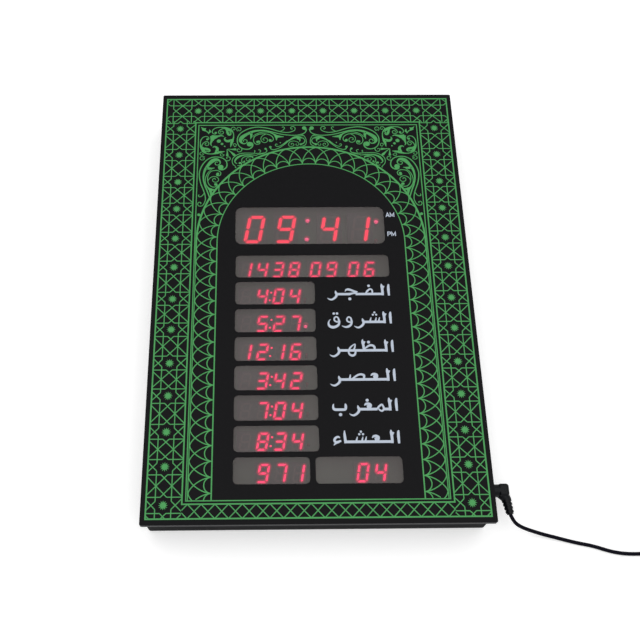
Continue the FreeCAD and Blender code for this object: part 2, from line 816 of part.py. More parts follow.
# ---- Loudspeaker ----
def make_speaker():
    """A round loudspeaker that faces the grille: basket, paper cone, magnet and four washer-head screws."""
    flange_top = frame_back_z + speaker_flange_thickness
    basket_top = frame_back_z + speaker_depth
    rim_inner = speaker_radius - speaker_flange_width
    neck = magnet_radius - magnet_lap
    basket = turned([(rim_inner, frame_back_z), (speaker_radius, frame_back_z), (speaker_radius, flange_top),
                     (rim_inner + speaker_sheet, flange_top), (magnet_radius, basket_top - speaker_sheet),
                     (magnet_radius, basket_top), (neck, basket_top), (neck, basket_top - speaker_sheet),
                     (rim_inner, flange_top)], 0.0, speaker_y)
    terminal_z = (flange_top + basket_top) / 2
    terminal_y = speaker_y - (rim_inner + magnet_radius) / 2
    terminal = block(-speaker_terminal_width / 2, speaker_terminal_width / 2,
                     terminal_y - speaker_terminal_reach, terminal_y + speaker_sheet,
                     terminal_z - speaker_terminal_thickness / 2, terminal_z + speaker_terminal_thickness / 2)
    write("speaker_basket", basket.fuse(terminal))
    edge_z = frame_back_z + cone_gap
    outer = rim_inner - cone_gap
    bend = outer - cone_surround
    throat_z = edge_z + cone_depth
    cap_z = throat_z - dust_cap_rise
    cone = turned([(0.0, cap_z), (cone_throat_radius * 0.6, cap_z + dust_cap_rise * 0.3),
                   (cone_throat_radius, throat_z), (bend, edge_z), (outer, edge_z),
                   (outer, edge_z + cone_sheet), (bend, edge_z + cone_sheet),
                   (cone_throat_radius + cone_sheet, throat_z + cone_sheet),
                   (cone_throat_radius + cone_sheet, basket_top), (cone_throat_radius, basket_top),
                   (cone_throat_radius, throat_z + cone_sheet),
                   (cone_throat_radius * 0.6, cap_z + dust_cap_rise * 0.3 + cone_sheet),
                   (0.0, cap_z + cone_sheet)], 0.0, speaker_y)
    write("speaker_cone", cone)
    write("speaker_magnet", rod(0.0, speaker_y, basket_top, basket_top + magnet_height, magnet_radius))
    screws = [pan_screw(FreeCAD.Vector(x, y, flange_top), Z_AXIS * -1, board_screw_radius,
                        speaker_flange_thickness + 1.5, speaker_screw_head_radius, board_screw_head_height)
              for x, y in speaker_post_places()]
    write("speaker_screws", *screws)
    return FreeCAD.Vector(0.0, terminal_y - speaker_terminal_reach, terminal_z)


# ---- Control board ----
def make_control_board(speaker_terminal):
    """The board that keeps the time and plays the call, with its parts, ribbon and wires."""
    left = control_board_x - control_board_width / 2
    bottom = control_board_y - control_board_height / 2
    board = block(left, left + control_board_width, bottom, bottom + control_board_height,
                  control_board_back_z, control_board_front_z)
    holes = [rod(x, y, control_board_back_z - 1, control_board_front_z + 1,
                 board_screw_radius + hole_clearance) for x, y in control_post_places()]
    write("control_board", board.cut(holes))
    screws = [pan_screw(FreeCAD.Vector(x, y, control_board_front_z), Z_AXIS * -1, board_screw_radius,
                        board_screw_length, board_screw_head_radius, board_screw_head_height)
              for x, y in control_post_places()]
    top = control_board_front_z
    write("controller_chip", block(chip_x - chip_size / 2, chip_x + chip_size / 2,
                                   control_board_y - chip_size / 2, control_board_y + chip_size / 2,
                                   top, top + chip_thickness))
    holder_radius = coin_radius + coin_holder_wall
    holder = rod(coin_x, control_board_y, top, top + coin_holder_floor + coin_thickness * 0.8, holder_radius)
    holder = holder.cut(rod(coin_x, control_board_y, top + coin_holder_floor, top + 20,
                            coin_radius + thread_clearance))
    write("coin_cell_holder", holder)
    write("coin_cell", rod(coin_x, control_board_y, top + coin_holder_floor,
                           top + coin_holder_floor + coin_thickness, coin_radius))
    write("capacitors", *[rod(capacitor_x + step * capacitor_spacing, control_board_y, top,
                              top + capacitor_height, capacitor_radius) for step in (0, 1)])

    upper_edge_y = bottom + control_board_height - board_edge_margin
    half = ribbon_width / 2 + ribbon_connector_margin
    low_plug = block(ribbon_x - half, ribbon_x + half, upper_edge_y - ribbon_connector_depth, upper_edge_y,
                     top, top + ribbon_connector_height)
    ribbon_length = 2 * ribbon_end_length + ribbon_rise_length
    high_y = upper_edge_y + ribbon_length
    high_plug = block(ribbon_x - half, ribbon_x + half, high_y, high_y + ribbon_connector_depth,
                      board_back_z - ribbon_connector_height, board_back_z)
    low_z = top + ribbon_connector_height / 2
    high_z = board_back_z - ribbon_connector_height / 2
    edge_x = ribbon_x - ribbon_width / 2
    wire, radii = arc_route([(edge_x, upper_edge_y, low_z),
                             (edge_x, upper_edge_y + ribbon_end_length, low_z),
                             (edge_x, high_y - ribbon_end_length, high_z),
                             (edge_x, high_y, high_z)])
    section = Part.makePolygon([FreeCAD.Vector(edge_x + a * ribbon_width, upper_edge_y,
                                               low_z + b * ribbon_thickness)
                                for a, b in ((0, -0.5), (1, -0.5), (1, 0.5), (0, 0.5), (0, -0.5))])
    write("ribbon_cable", wire.makePipeShell([section], True, False))

    def connector(x, y0):
        return block(x - wire_connector_width / 2, x + wire_connector_width / 2, y0,
                     y0 + wire_connector_depth, top, top + wire_connector_height)

    write("board_connectors", low_plug, high_plug,
          connector(speaker_connector_x, upper_edge_y - wire_connector_depth),
          connector(power_connector_x, bottom + board_edge_margin))
    wire_z = top + wire_connector_height / 2
    end = FreeCAD.Vector(speaker_connector_x, upper_edge_y, wire_z)
    write("speaker_wires", *wire_pair(speaker_terminal, FreeCAD.Vector(0, -1, 0), end,
                                      FreeCAD.Vector(0, 1, 0), X_AXIS, wire_steps))
    jack_back = FreeCAD.Vector(wall_x - case_wall - jack_flange_thickness - jack_body_length, jack_y, jack_z)
    end = FreeCAD.Vector(power_connector_x, bottom + board_edge_margin, wire_z)
    write("power_wires", *wire_pair(jack_back, X_AXIS * -1, end, FreeCAD.Vector(0, -1, 0)))
    return screws


# ---- Buttons ----
def make_buttons():
    """Five push buttons in the left wall, each with a stem in its own switch on the button board."""
    outside_x = -wall_x - button_reach
    flange_end_x = button_flange_face_x + button_flange_thickness
    stem_end_x = switch_face_x + switch_stem_entry
    switches = []
    for index, name in enumerate(button_names):
        y = button_y(index)
        cap = rod_x(outside_x, button_flange_face_x + 0.2, y, buttons_z, button_radius)
        cap = cap.makeFillet(button_dome, [edge for edge in cap.Edges
                                           if abs(edge.CenterOfMass.x - outside_x) < 1e-6
                                           and edge.Length > 1.5 * math.pi * button_radius])
        flange = rod_x(button_flange_face_x, flange_end_x, y, buttons_z, button_flange_radius)
        stem = rod_x(flange_end_x - 0.2, stem_end_x, y, buttons_z, button_stem_radius)
        write(name, cap.fuse([flange, stem]).removeSplitter())
        half = switch_size / 2
        switch = block(switch_face_x, button_board_face_x, y - half, y + half,
                       buttons_z - half, buttons_z + half)
        switches.append(switch.cut(rod_x(switch_face_x - 1, switch_face_x + switch_well_depth, y, buttons_z,
                                         switch_well_radius)))
    write("button_switches", *switches)
    reach = (len(button_names) - 1) * button_pitch / 2 + button_board_margin
    board = block(button_board_face_x, button_board_back_x, buttons_y - reach, buttons_y + reach,
                  buttons_z - button_board_height / 2, buttons_z + button_board_height / 2)
    holes = [rod_x(button_board_face_x - 1, button_board_back_x + 1, y, buttons_z,
                   board_screw_radius + hole_clearance) for y in button_boss_ys()]
    write("button_board", board.cut(holes))
    screws = [pan_screw(FreeCAD.Vector(button_board_back_x, y, buttons_z), X_AXIS * -1, board_screw_radius,
                        board_screw_length, board_screw_head_radius, board_screw_head_height)
              for y in button_boss_ys()]
    return screws


# ---- Power socket and plug ----
def make_jack():
    """The panel socket with its centre pin, and the nut outside the wall."""
    inside_x = wall_x - case_wall
    flange_x = inside_x - jack_flange_thickness
    body = rod_x(flange_x - jack_body_length, flange_x + 0.2, jack_y, jack_z, jack_body_radius)
    flange = rod_x(flange_x, inside_x, jack_y, jack_z, jack_flange_radius)
    thread = rod_x(inside_x - 0.2, jack_front_x, jack_y, jack_z, jack_thread_radius)
    bore_x = jack_front_x - jack_bore_depth
    bore = rod_x(bore_x, jack_front_x + 1, jack_y, jack_z, jack_bore_radius)
    pin = rod_x(bore_x - 0.5, jack_front_x - 2.0, jack_y, jack_z, jack_pin_radius)
    write("dc_jack", body.fuse([flange, thread]).cut(bore).fuse(pin).removeSplitter())
    nut = hexagon_prism(jack_nut_across_flats, 0.0, jack_nut_thickness)
    nut = nut.cut(rod(0, 0, -1, jack_nut_thickness + 1, jack_thread_radius + thread_clearance))
    nut.Placement = FreeCAD.Placement(FreeCAD.Vector(wall_x, jack_y, jack_z),
                                      FreeCAD.Rotation(Z_AXIS, X_AXIS))
    write("dc_jack_nut", nut)


def make_plug():
    """The right-angle plug: steel barrel, moulded head and ribbed strain relief. Gives the cord's exit.

    A loft from a broad oval to a circle forms the head's shoulder, which narrows into the relief.
    """
    barrel = rod_x(plug_back_x - plug_gap - barrel_length, plug_back_x, jack_y, jack_z, barrel_radius)
    barrel_tip = plug_back_x - plug_gap - barrel_length
    write("dc_plug_barrel", barrel.cut(rod_x(barrel_tip - 1, plug_back_x - 1.0, jack_y, jack_z,
                                             barrel_bore_radius)))
    head_end_x = plug_back_x + plug_head_length
    half = plug_head_size / 2
    sleeve = rod_x(plug_back_x, head_end_x - half, jack_y, jack_z, plug_sleeve_radius)
    head = block(plug_back_x + plug_sleeve_length, head_end_x, jack_y - half, jack_y + half,
                 jack_z - half, jack_z + half)
    head = head.makeFillet(plug_head_round, head.Edges).fuse(sleeve)
    along = FreeCAD.Vector(plug_leg_lean).normalize()
    leg_start = FreeCAD.Vector(plug_leg_x, jack_y + plug_leg_rise, jack_z)
    leg_end = leg_start + along * plug_leg_length
    level = along.cross(Z_AXIS).normalize()
    oval = Part.Ellipse(FreeCAD.Vector(plug_shoulder_shift, 0, -plug_shoulder_length),
                        plug_shoulder_half_width, plug_shoulder_half_depth)
    ring = Part.Circle(FreeCAD.Vector(0, 0, 0), Z_AXIS, plug_leg_end_radius)
    leg = Part.makeLoft([Part.Wire([oval.toShape()]), Part.Wire([ring.toShape()])], True)
    leg.Placement = FreeCAD.Placement(leg_end, FreeCAD.Rotation(level, along.cross(level), along, "ZXY"))
    write("dc_plug_head", head.fuse(leg).removeSplitter())
    pitch = relief_length / relief_ribs
    profile = [(0.0, 0.0)]
    for rib in range(relief_ribs):
        share = rib / (relief_ribs - 1)
        radius = relief_rib_radius + (relief_end_radius - relief_rib_radius) * share
        groove_radius = radius - relief_groove
        profile += [(radius, rib * pitch), (radius, (rib + 0.6) * pitch),
                    (groove_radius, (rib + 0.6) * pitch), (groove_radius, (rib + 1) * pitch)]
    profile.append((0.0, relief_length))
    relief = turned(profile)
    relief.Placement = FreeCAD.Placement(leg_end, FreeCAD.Rotation(Z_AXIS, along))
    write("dc_plug_relief", relief)
    return leg_end + along * relief_length


# ---- Cord, coil and adapter ----
def make_cord(cord_exit):
    """The cord's tube to the coil and its tail to the adapter, the coil as one ring, and the tie round it."""
    write("power_cord", tube_along([tuple(cord_exit)] + cord_route, cord_radius))
    relief_end_y = adapter_front_y - adapter_relief_length
    tail_end = (adapter_x, relief_end_y, adapter_lead_z)
    write("power_cord_tail", tube_along(tail_route + [tail_end], cord_radius))
    inner = coil_inner_turn - cord_radius
    outer = coil_outer_turn + cord_radius
    ring = rod(coil_x, coil_y, coil_bottom_z, coil_top_z, outer)
    ring = ring.cut(rod(coil_x, coil_y, coil_bottom_z - 1, coil_top_z + 1, inner))
    round_over = cord_radius * 0.8
    write("power_cord_coil", ring.makeFillet(round_over, [edge for edge in ring.Edges
                                                          if edge.Length > math.pi * inner]))
    half = tie_width / 2
    y0 = coil_y + math.sqrt(inner ** 2 - half ** 2) - tie_clearance
    y1 = coil_y + outer + tie_clearance
    z0 = coil_bottom_z - tie_clearance
    z1 = coil_top_z + tie_clearance
    band = block(coil_x - half, coil_x + half, y0 - tie_thickness, y1 + tie_thickness,
                 z0 - tie_thickness, z1 + tie_thickness)
    band = band.makeFillet(tie_corner, [edge for edge in band.Edges if edge.BoundBox.XLength > half])
    write("cord_tie", band.cut(block(coil_x - half - 1, coil_x + half + 1, y0, y1, z0, z1)))


def make_adapter():
    """The mains adapter, lying on its back with three flat pins up."""
    back_y = adapter_front_y + adapter_length
    middle_y = (adapter_front_y + back_y) / 2
    body = rounded_plate(adapter_width, adapter_length, adapter_round, 0.0, adapter_depth,
                         adapter_x, middle_y)
    top_edges = [edge for edge in body.Edges if edge.BoundBox.ZMin > adapter_depth - 1e-3]
    seam_top_z = adapter_seam_z + adapter_seam_width
    seam = rounded_plate(adapter_width + 2, adapter_length + 2, adapter_round + 1, adapter_seam_z, seam_top_z,
                         adapter_x, middle_y)
    core_width = adapter_width - 2 * adapter_seam_depth
    core_length = adapter_length - 2 * adapter_seam_depth
    seam = seam.cut(rounded_plate(core_width, core_length, adapter_round - adapter_seam_depth,
                                  adapter_seam_z - 1, seam_top_z + 1, adapter_x, middle_y))
    write("adapter_body", body.makeFillet(adapter_round * 0.4, top_edges).cut(seam))
    relief_start = FreeCAD.Vector(adapter_x, adapter_front_y, adapter_lead_z)
    relief_end = FreeCAD.Vector(adapter_x, adapter_front_y - adapter_relief_length, adapter_lead_z)
    write("adapter_relief", cone_between(relief_end, relief_start, cord_radius + 0.5,
                                         adapter_relief_start_radius))
    pin_row_y = adapter_front_y + pins_inset
    pins = []

    def pin(x, y, width, thickness, length):
        bar = block(x - width / 2, x + width / 2, y - thickness / 2, y + thickness / 2,
                    adapter_depth, adapter_depth + length)
        tip_edges = [edge for edge in bar.Edges if edge.BoundBox.ZMin > adapter_depth + length - 1e-3]
        return bar.makeChamfer(pin_tip_chamfer, tip_edges)

    for side in (-1, 1):
        pins.append(pin(adapter_x + side * live_pin_spacing / 2, pin_row_y, live_pin_width,
                        live_pin_thickness, live_pin_length))
    pins.append(pin(adapter_x, pin_row_y + earth_pin_spacing, earth_pin_width, earth_pin_thickness,
                    earth_pin_length))
    write("adapter_pins", *pins)


os.makedirs("parts", exist_ok=True)
make_face()
make_case_frame()
make_back_cover()
make_case_trim()
make_displays()
board_screws = make_display_board() + make_control_board(make_speaker()) + make_buttons()
write("board_screws", *board_screws)
make_jack()
make_cord(make_plug())
make_adapter()
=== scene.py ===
# %% [markdown]
# # A wall clock for prayer times, dressed in Blender
# The clock is a tinted acrylic face with a printed film, a shallow black case behind it, and red LED
# digits that shine through ten windows. It lies on a table, face up, with its power lead plugged in.
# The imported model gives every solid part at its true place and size. This script adds what bare solids
# lack: the finish of each material, the ink of the print, the lit digits and the free cord.
# Each step first says what the thing is on the real clock, then how it is made and why.

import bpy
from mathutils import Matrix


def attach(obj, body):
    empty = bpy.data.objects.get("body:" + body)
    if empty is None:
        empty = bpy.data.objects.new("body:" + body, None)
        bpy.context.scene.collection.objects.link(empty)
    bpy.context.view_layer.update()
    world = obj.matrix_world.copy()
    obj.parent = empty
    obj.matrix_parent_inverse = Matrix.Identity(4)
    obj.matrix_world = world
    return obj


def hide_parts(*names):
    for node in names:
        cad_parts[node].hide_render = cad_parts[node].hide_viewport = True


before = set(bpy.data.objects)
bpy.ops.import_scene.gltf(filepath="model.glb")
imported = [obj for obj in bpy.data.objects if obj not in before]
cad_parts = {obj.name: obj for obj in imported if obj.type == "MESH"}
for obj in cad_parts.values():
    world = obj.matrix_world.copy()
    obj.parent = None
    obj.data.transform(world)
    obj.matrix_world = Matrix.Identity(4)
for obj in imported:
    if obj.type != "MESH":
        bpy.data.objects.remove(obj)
print("nodes:", len(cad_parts))

# %% [markdown]
# The imports follow the frame. Sizes are written in millimetres, as a workshop would, and become metres
# at the last moment.

# %% Imports and units
import math

import bpy
import numpy as np
from mathutils import Matrix

MM = 0.001
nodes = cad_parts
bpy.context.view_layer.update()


def place_in_scene(name, data):
    """A new object for a camera, lamp, curve or mesh, linked into the scene."""
    thing = bpy.data.objects.new(name, data)
    bpy.context.scene.collection.objects.link(thing)
    return thing


# %% [markdown]
# ## The camera
# The clock is seen from above its lower edge, at about 64 degrees above the table, by somebody who stands
# in front of it. A camera has a place, a direction and a lens. The direction is written as the three
# axes of the camera, because that says the roll too. A small shift moves the picture, not the camera.

# %% Camera
camera_place = (-0.039263, -0.395091, 0.814195)
camera_right = (0.99988758, -0.01141629, 0.00972099)
camera_up = (0.00600638, 0.89897947, 0.43794959)
camera_back = (-0.01373873, -0.43784197, 0.89894697)

camera_data = bpy.data.cameras.new("table_camera")
camera_data.lens = 51.67
camera_data.sensor_width = 36.0
camera_data.shift_x = 0.05725
camera_data.shift_y = -0.02285
camera = place_in_scene("table_camera", camera_data)
camera.matrix_world = Matrix([(*axes, place) for *axes, place in zip(
    camera_right, camera_up, camera_back, camera_place)] + [(0, 0, 0, 1)])
bpy.context.scene.camera = camera
print("camera height, mm:", round(camera_place[2] / MM))

# %% [markdown]
# ## The power cord
# The lead is a limp round cable, 3.3 mm across and about 1.5 m long. It leaves the moulded plug,
# falls to the table in a loose curve, and runs out to the right. The spare length is wound in four
# layers of a small coil, tied, and ends in the adapter. A cord is one smooth line with a round
# section, so a NURBS curve with a bevel is the natural tool: few points, and no corners anywhere. The
# cord's thickness is the radius that each control point carries, times a bevel depth of one.

# %% Cord: route
cord_radius = 1.65
cord_exit = (167.87, -211.30, 19.24)
cord_route = [(169.7, -216.0, 18.2), (174.2, -219.8, 15.6), (181.0, -221.9, 11.7),
              (189.0, -223.5, 7.6), (199.0, -225.7, 4.2), (212.4, -228.7, 2.2),
              (227.0, -232.6, 1.75), (242.0, -235.5, 1.75), (257.3, -240.8, 1.75),
              (272.3, -242.9, 1.75), (290.0, -242.3, 1.75), (309.0, -243.2, 2.1)]
tail_route = [(341.9, -210.8, 12.4), (342.9, -198.0, 11.2), (345.0, -185.0, 5.6),
              (348.0, -172.0, 2.0), (350.8, -159.0, 3.4), (352.0, -146.5, 8.0),
              (352.0, -134.0, 8.0)]
print("route points:", len(cord_route + tail_route))

# %% Cord: the coil's turns
coil_centre = (320.0, -221.3)
coil_outer, coil_inner = 21.9, 13.2
coil_first_z, coil_layer_pitch, coil_layers = 2.48, 3.35, 4
layer_turns, rise_turns, points_per_turn = 2.625, 0.25, 16


def coil_points():
    """Turns that spiral in on one layer, climb a quarter turn, spiral out on the next, and so on."""
    radii, heights = [], []
    steps, climb = int(layer_turns * points_per_turn), int(rise_turns * points_per_turn)
    for layer in range(coil_layers):
        ends = (coil_outer, coil_inner) if layer % 2 == 0 else (coil_inner, coil_outer)
        radii += list(np.linspace(*ends, steps + 1))
        heights += [coil_first_z + layer * coil_layer_pitch] * (steps + 1)
        if layer < coil_layers - 1:
            radii += [ends[1]] * (climb - 1)
            heights += list(coil_first_z + (layer + np.arange(1, climb) / climb) * coil_layer_pitch)
    angle = -math.pi / 2 + np.arange(len(radii)) * 2 * math.pi / points_per_turn
    reach = np.array(radii) / math.cos(math.pi / points_per_turn)
    return np.stack([coil_centre[0] + reach * np.cos(angle), coil_centre[1] + reach * np.sin(angle),
                     np.array(heights)], axis=1)


cord_points = np.vstack([[cord_exit], cord_route, coil_points(), tail_route])
print("cord control points:", len(cord_points))

# %% Cord: curve
cord_curve = bpy.data.curves.new("power_lead", "CURVE")
cord_curve.dimensions = "3D"
cord_spline = cord_curve.splines.new("NURBS")
cord_spline.points.add(len(cord_points) - 1)
cord_spline.points.foreach_set("co", np.column_stack(
    [cord_points * MM, np.ones(len(cord_points))]).ravel())
cord_spline.points.foreach_set("radius", np.full(len(cord_points), cord_radius * MM))
cord_spline.order_u = 3
cord_spline.use_endpoint_u = True
cord_spline.resolution_u = 4
cord_curve.bevel_depth = 1.0
cord_curve.bevel_resolution = 4
cord_curve.use_fill_caps = True
power_lead = place_in_scene("power_lead", cord_curve)
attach(power_lead, "case")
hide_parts("power_cord", "power_cord_coil", "power_cord_tail")

# %% [markdown]
# ## Materials
# A material is a net of nodes that ends in the Principled shader. Written out node by node it is long,
# so one small class keeps the net of a material, or of the sky, and adds, wires and sets its nodes.


# %% A net of nodes
class Net:
    """The nodes of one material or sky. An output can be given wherever a number can."""

    def __init__(self, owner, shader="Principled BSDF"):
        owner.use_nodes = True
        self.owner, self.tree = owner, owner.node_tree
        self.shader = self.tree.nodes[shader]

    def wire(self, node, **inputs):
        """Sets inputs by name, or by number as i0, i1 and so on, and links those given an output."""
        for key, value in inputs.items():
            socket = node.inputs[int(key[1:]) if key[1:].isdigit() else key.replace("_", " ")]
            if isinstance(value, bpy.types.NodeSocket):
                self.tree.links.new(value, socket)
            else:
                socket.default_value = value

    def add(self, kind, settings=None, **inputs):
        """A new node."""
        node = self.tree.nodes.new("ShaderNode" + kind)
        for key, value in (settings or {}).items():
            setattr(node, key, value)
        self.wire(node, **inputs)
        return node

    def math(self, operation, *values):
        """The result of one sum, product or comparison."""
        inputs = {f"i{k}": value for k, value in enumerate(values)}
        return self.add("Math", {"operation": operation}, **inputs).outputs[0]

    def scaled(self, value, low, high, to_low, to_high):
        """A value that runs from low to high, mapped evenly to run from to_low to to_high."""
        return self.add("MapRange", Value=value, i1=low, i2=high, i3=to_low, i4=to_high).outputs[0]

    def ramp(self, value, dark, light, low=0.0, high=1.0):
        """The colour dark where the value is low, light where it is high, and a blend between."""
        node = self.add("ValToRGB", Fac=value)
        for element, position, colour in zip(node.color_ramp.elements, (low, high), (dark, light)):
            element.position, element.color = position, (*colour, 1)
        return node.outputs[0]

    def place(self):
        """Object coordinates, in metres."""
        return self.add("TexCoord").outputs["Object"]

    def axis(self, name):
        """One coordinate of the place."""
        return self.add("SeparateXYZ", Vector=self.place()).outputs[name]

    def noise(self, scale, detail, roughness=0.5, where=None):
        """Cloudy noise with this many features to the metre."""
        where = self.place() if where is None else where
        return self.add("TexNoise", Vector=where, Scale=scale, Detail=detail,
                        Roughness=roughness).outputs["Fac"]

    def seen_plainly(self):
        """One for what the camera, a mirror or glass sees, and nought for other light."""
        rays = self.add("LightPath").outputs
        plain = self.math("MAXIMUM", rays["Is Camera Ray"], rays["Is Glossy Ray"])
        return self.math("MAXIMUM", plain, rays["Is Transmission Ray"])

    def done(self, **inputs):
        """Sets the shader's own sockets and gives the material back."""
        self.wire(self.shader, **inputs)
        return self.owner


def new_net(name):
    """A net for a new material."""
    return Net(bpy.data.materials.new(name))


# %% [markdown]
# ## Table and light
# The clock lies on a plain white table under broad soft light. The table keeps a faint shadow. A large
# area lamp above and a pale sky give a level at which a colour shows about as it is written. What the
# camera and mirrors see of the sky is plain white.

# %% Table top
table_reach, table_lift = 8, 0.34
net = new_net("white_table")
white_table = net.done(Base_Color=(0.9, 0.9, 0.9, 1), Roughness=0.9, Emission_Color=(1, 1, 1, 1),
                       Emission_Strength=net.math("MULTIPLY", net.seen_plainly(), table_lift))
table_mesh = bpy.data.meshes.new("table_top")
table_corners = np.array([(-1, -1, 0), (1, -1, 0), (1, 1, 0), (-1, 1, 0)]) * table_reach
table_mesh.from_pydata(table_corners.tolist(), [], [(0, 1, 2, 3)])
table_mesh.materials.append(white_table)
place_in_scene("table_top", table_mesh)
print("table side, m:", 2 * table_reach)

# %% Sky and lamp
sky_strength, lamp_watts, lamp_size, lamp_place = 0.64, 29.0, 3.0, (0.1, -0.1, 2.4)
world = bpy.data.worlds.new("pale_sky")
bpy.context.scene.world = world
sky = Net(world, "Background")
sky.done(Color=(1, 1, 1, 1), Strength=sky.scaled(sky.seen_plainly(), 0.0, 1.0, sky_strength, 1.0))

lamp_data = bpy.data.lights.new("soft_lamp", "AREA")
lamp_data.energy = lamp_watts
lamp_data.size = lamp_size
place_in_scene("soft_lamp", lamp_data).location = lamp_place
bpy.context.scene.view_settings.view_transform = "Standard"
print("lamp watts:", lamp_watts, "sky:", sky_strength)

# %% [markdown]
# ## Finishes of the solid parts
# Every real surface varies: moulded plastic has the fine texture of a spark-eroded tool, steel shows its
# rolling lines, foam its cells. Each finish below is a small net on Object coordinates, in metres, so a
# pattern has its real scale on every part. A constant is set on the shader itself.


# %% Grained finish, for moulded and painted surfaces
def grained(name, dark, light, roughness, grain, bump=0.15, depth=0.00005, stretch=(1, 1, 1), **constants):
    """Two close colours mixed by noise of a given grain size (mm), and the same noise as a shallow bump."""
    net = new_net(name)
    stretched = net.add("Mapping", Vector=net.place(), Scale=stretch).outputs[0]
    fine = net.noise(1 / (grain * MM), 3.0, 0.55, stretched)
    cloud = net.noise(1 / (grain * 14 * MM), 2.0)
    blend = net.math("MULTIPLY_ADD", cloud, 0.4, net.math("MULTIPLY", fine, 0.6))
    relief = net.add("Bump", Height=fine, Strength=bump, Distance=depth)
    return net.done(Base_Color=net.ramp(blend, dark, light, 0.32, 0.68), Normal=relief.outputs[0],
                    Roughness=net.scaled(blend, 0.3, 0.7, roughness - 0.06, roughness + 0.06), **constants)


def dress(material, *names):
    """Gives CAD nodes a material."""
    for name in names:
        slots = nodes[name].data.materials
        slots.clear()
        slots.append(material)
    print(material.name, "on", ", ".join(names))


# %% Plastics, rubber, foam and paper
dress(grained("case_black_abs", (0.0035, 0.0035, 0.004), (0.0065, 0.0065, 0.0075), 0.68, 0.9, bump=0.35,
              Specular_IOR_Level=0.04), "case_frame")
dress(grained("cover_black_leather_grain", (0.008, 0.008, 0.009), (0.021, 0.021, 0.023), 0.55, 1.3, bump=0.9,
              depth=0.00015, Specular_IOR_Level=0.3), "back_cover")
dress(grained("tape_black_foam", (0.012, 0.012, 0.013), (0.045, 0.045, 0.048), 0.9, 0.5, bump=0.8,
              depth=0.0002), "panel_tape")
dress(grained("foot_black_rubber", (0.012, 0.012, 0.012), (0.03, 0.03, 0.03), 0.8, 0.7, bump=0.3),
      "rubber_feet")
dress(grained("module_grey", (0.033, 0.031, 0.032), (0.041, 0.038, 0.039), 0.7, 0.6, bump=0.1),
      "time_digit_modules", *(name for name in nodes if name.endswith("_module")))
dress(grained("nylon_natural", (0.62, 0.60, 0.53), (0.72, 0.70, 0.63), 0.45, 1.2, Subsurface_Weight=0.15),
      "board_standoffs")
dress(grained("chip_black_epoxy", (0.012, 0.012, 0.013), (0.03, 0.03, 0.031), 0.55, 0.35, bump=0.3),
      "controller_chip", "coin_cell_holder", "button_switches", "dc_jack")
dress(grained("connector_white_nylon", (0.60, 0.57, 0.50), (0.70, 0.67, 0.60), 0.42, 0.9), "board_connectors")
dress(grained("button_grey_abs", (0.045, 0.045, 0.048), (0.075, 0.075, 0.08), 0.45, 0.5),
      *(name for name in nodes if name.endswith("_button")))
dress(grained("wire_red_pvc", (0.28, 0.008, 0.008), (0.42, 0.015, 0.012), 0.35, 1.5),
      "speaker_wires", "power_wires")
dress(grained("magnet_ferrite", (0.020, 0.019, 0.019), (0.055, 0.053, 0.052), 0.6, 0.4, bump=0.3),
      "speaker_magnet")
dress(grained("cone_paper", (0.02, 0.02, 0.02), (0.06, 0.058, 0.055), 0.95, 0.5, bump=0.9, depth=0.0002,
              stretch=(1, 0.3, 1)), "speaker_cone")
dress(grained("plug_black_pvc", (0.0018, 0.0022, 0.0030), (0.0038, 0.0046, 0.0062), 0.28, 1.2, bump=0.08,
              Specular_IOR_Level=0.12), "dc_plug_head", "dc_plug_relief", "adapter_relief")
dress(grained("adapter_black_abs", (0.007, 0.007, 0.008), (0.015, 0.015, 0.0165), 0.5, 0.8, bump=0.5,
              depth=0.0001, Specular_IOR_Level=0.22), "adapter_body")
dress(grained("tie_black_nylon", (0.004, 0.004, 0.005), (0.012, 0.012, 0.014), 0.8, 0.7, bump=0.9,
              depth=0.0003, stretch=(1, 0.4, 1), Specular_IOR_Level=0.15), "cord_tie")
dress(grained("capacitor_sleeve", (0.012, 0.013, 0.03), (0.03, 0.032, 0.06), 0.3, 2.0), "capacitors")
power_lead.data.materials.append(grained("cord_black_pvc", (0.0020, 0.0018, 0.0045), (0.004, 0.0037, 0.008),
                                         0.5, 2.5, bump=0.1, Specular_IOR_Level=0.04))
print("plastic finishes:", len(bpy.data.materials))

# %% Metals
dress(grained("zinc_plated", (0.42, 0.42, 0.43), (0.62, 0.62, 0.64), 0.32, 0.5, Metallic=1.0),
      "hanger_rivets", "board_screws", "speaker_screws", "dc_jack_nut")
dress(grained("zinc_blackened", (0.030, 0.030, 0.033), (0.085, 0.085, 0.09), 0.38, 0.5, Metallic=1.0),
      "cover_screws")
dress(grained("galvanised_sheet", (0.42, 0.43, 0.45), (0.66, 0.67, 0.69), 0.36, 1.1, stretch=(0.12, 1, 1),
              bump=0.1, Metallic=1.0), "hanger_plates", "speaker_basket")
dress(grained("cell_stainless", (0.55, 0.55, 0.54), (0.72, 0.72, 0.71), 0.25, 0.4, stretch=(0.1, 1, 1),
              Metallic=1.0), "coin_cell")
dress(grained("nickel_bright", (0.60, 0.59, 0.56), (0.74, 0.73, 0.70), 0.16, 0.8, Metallic=1.0),
      "dc_plug_barrel")


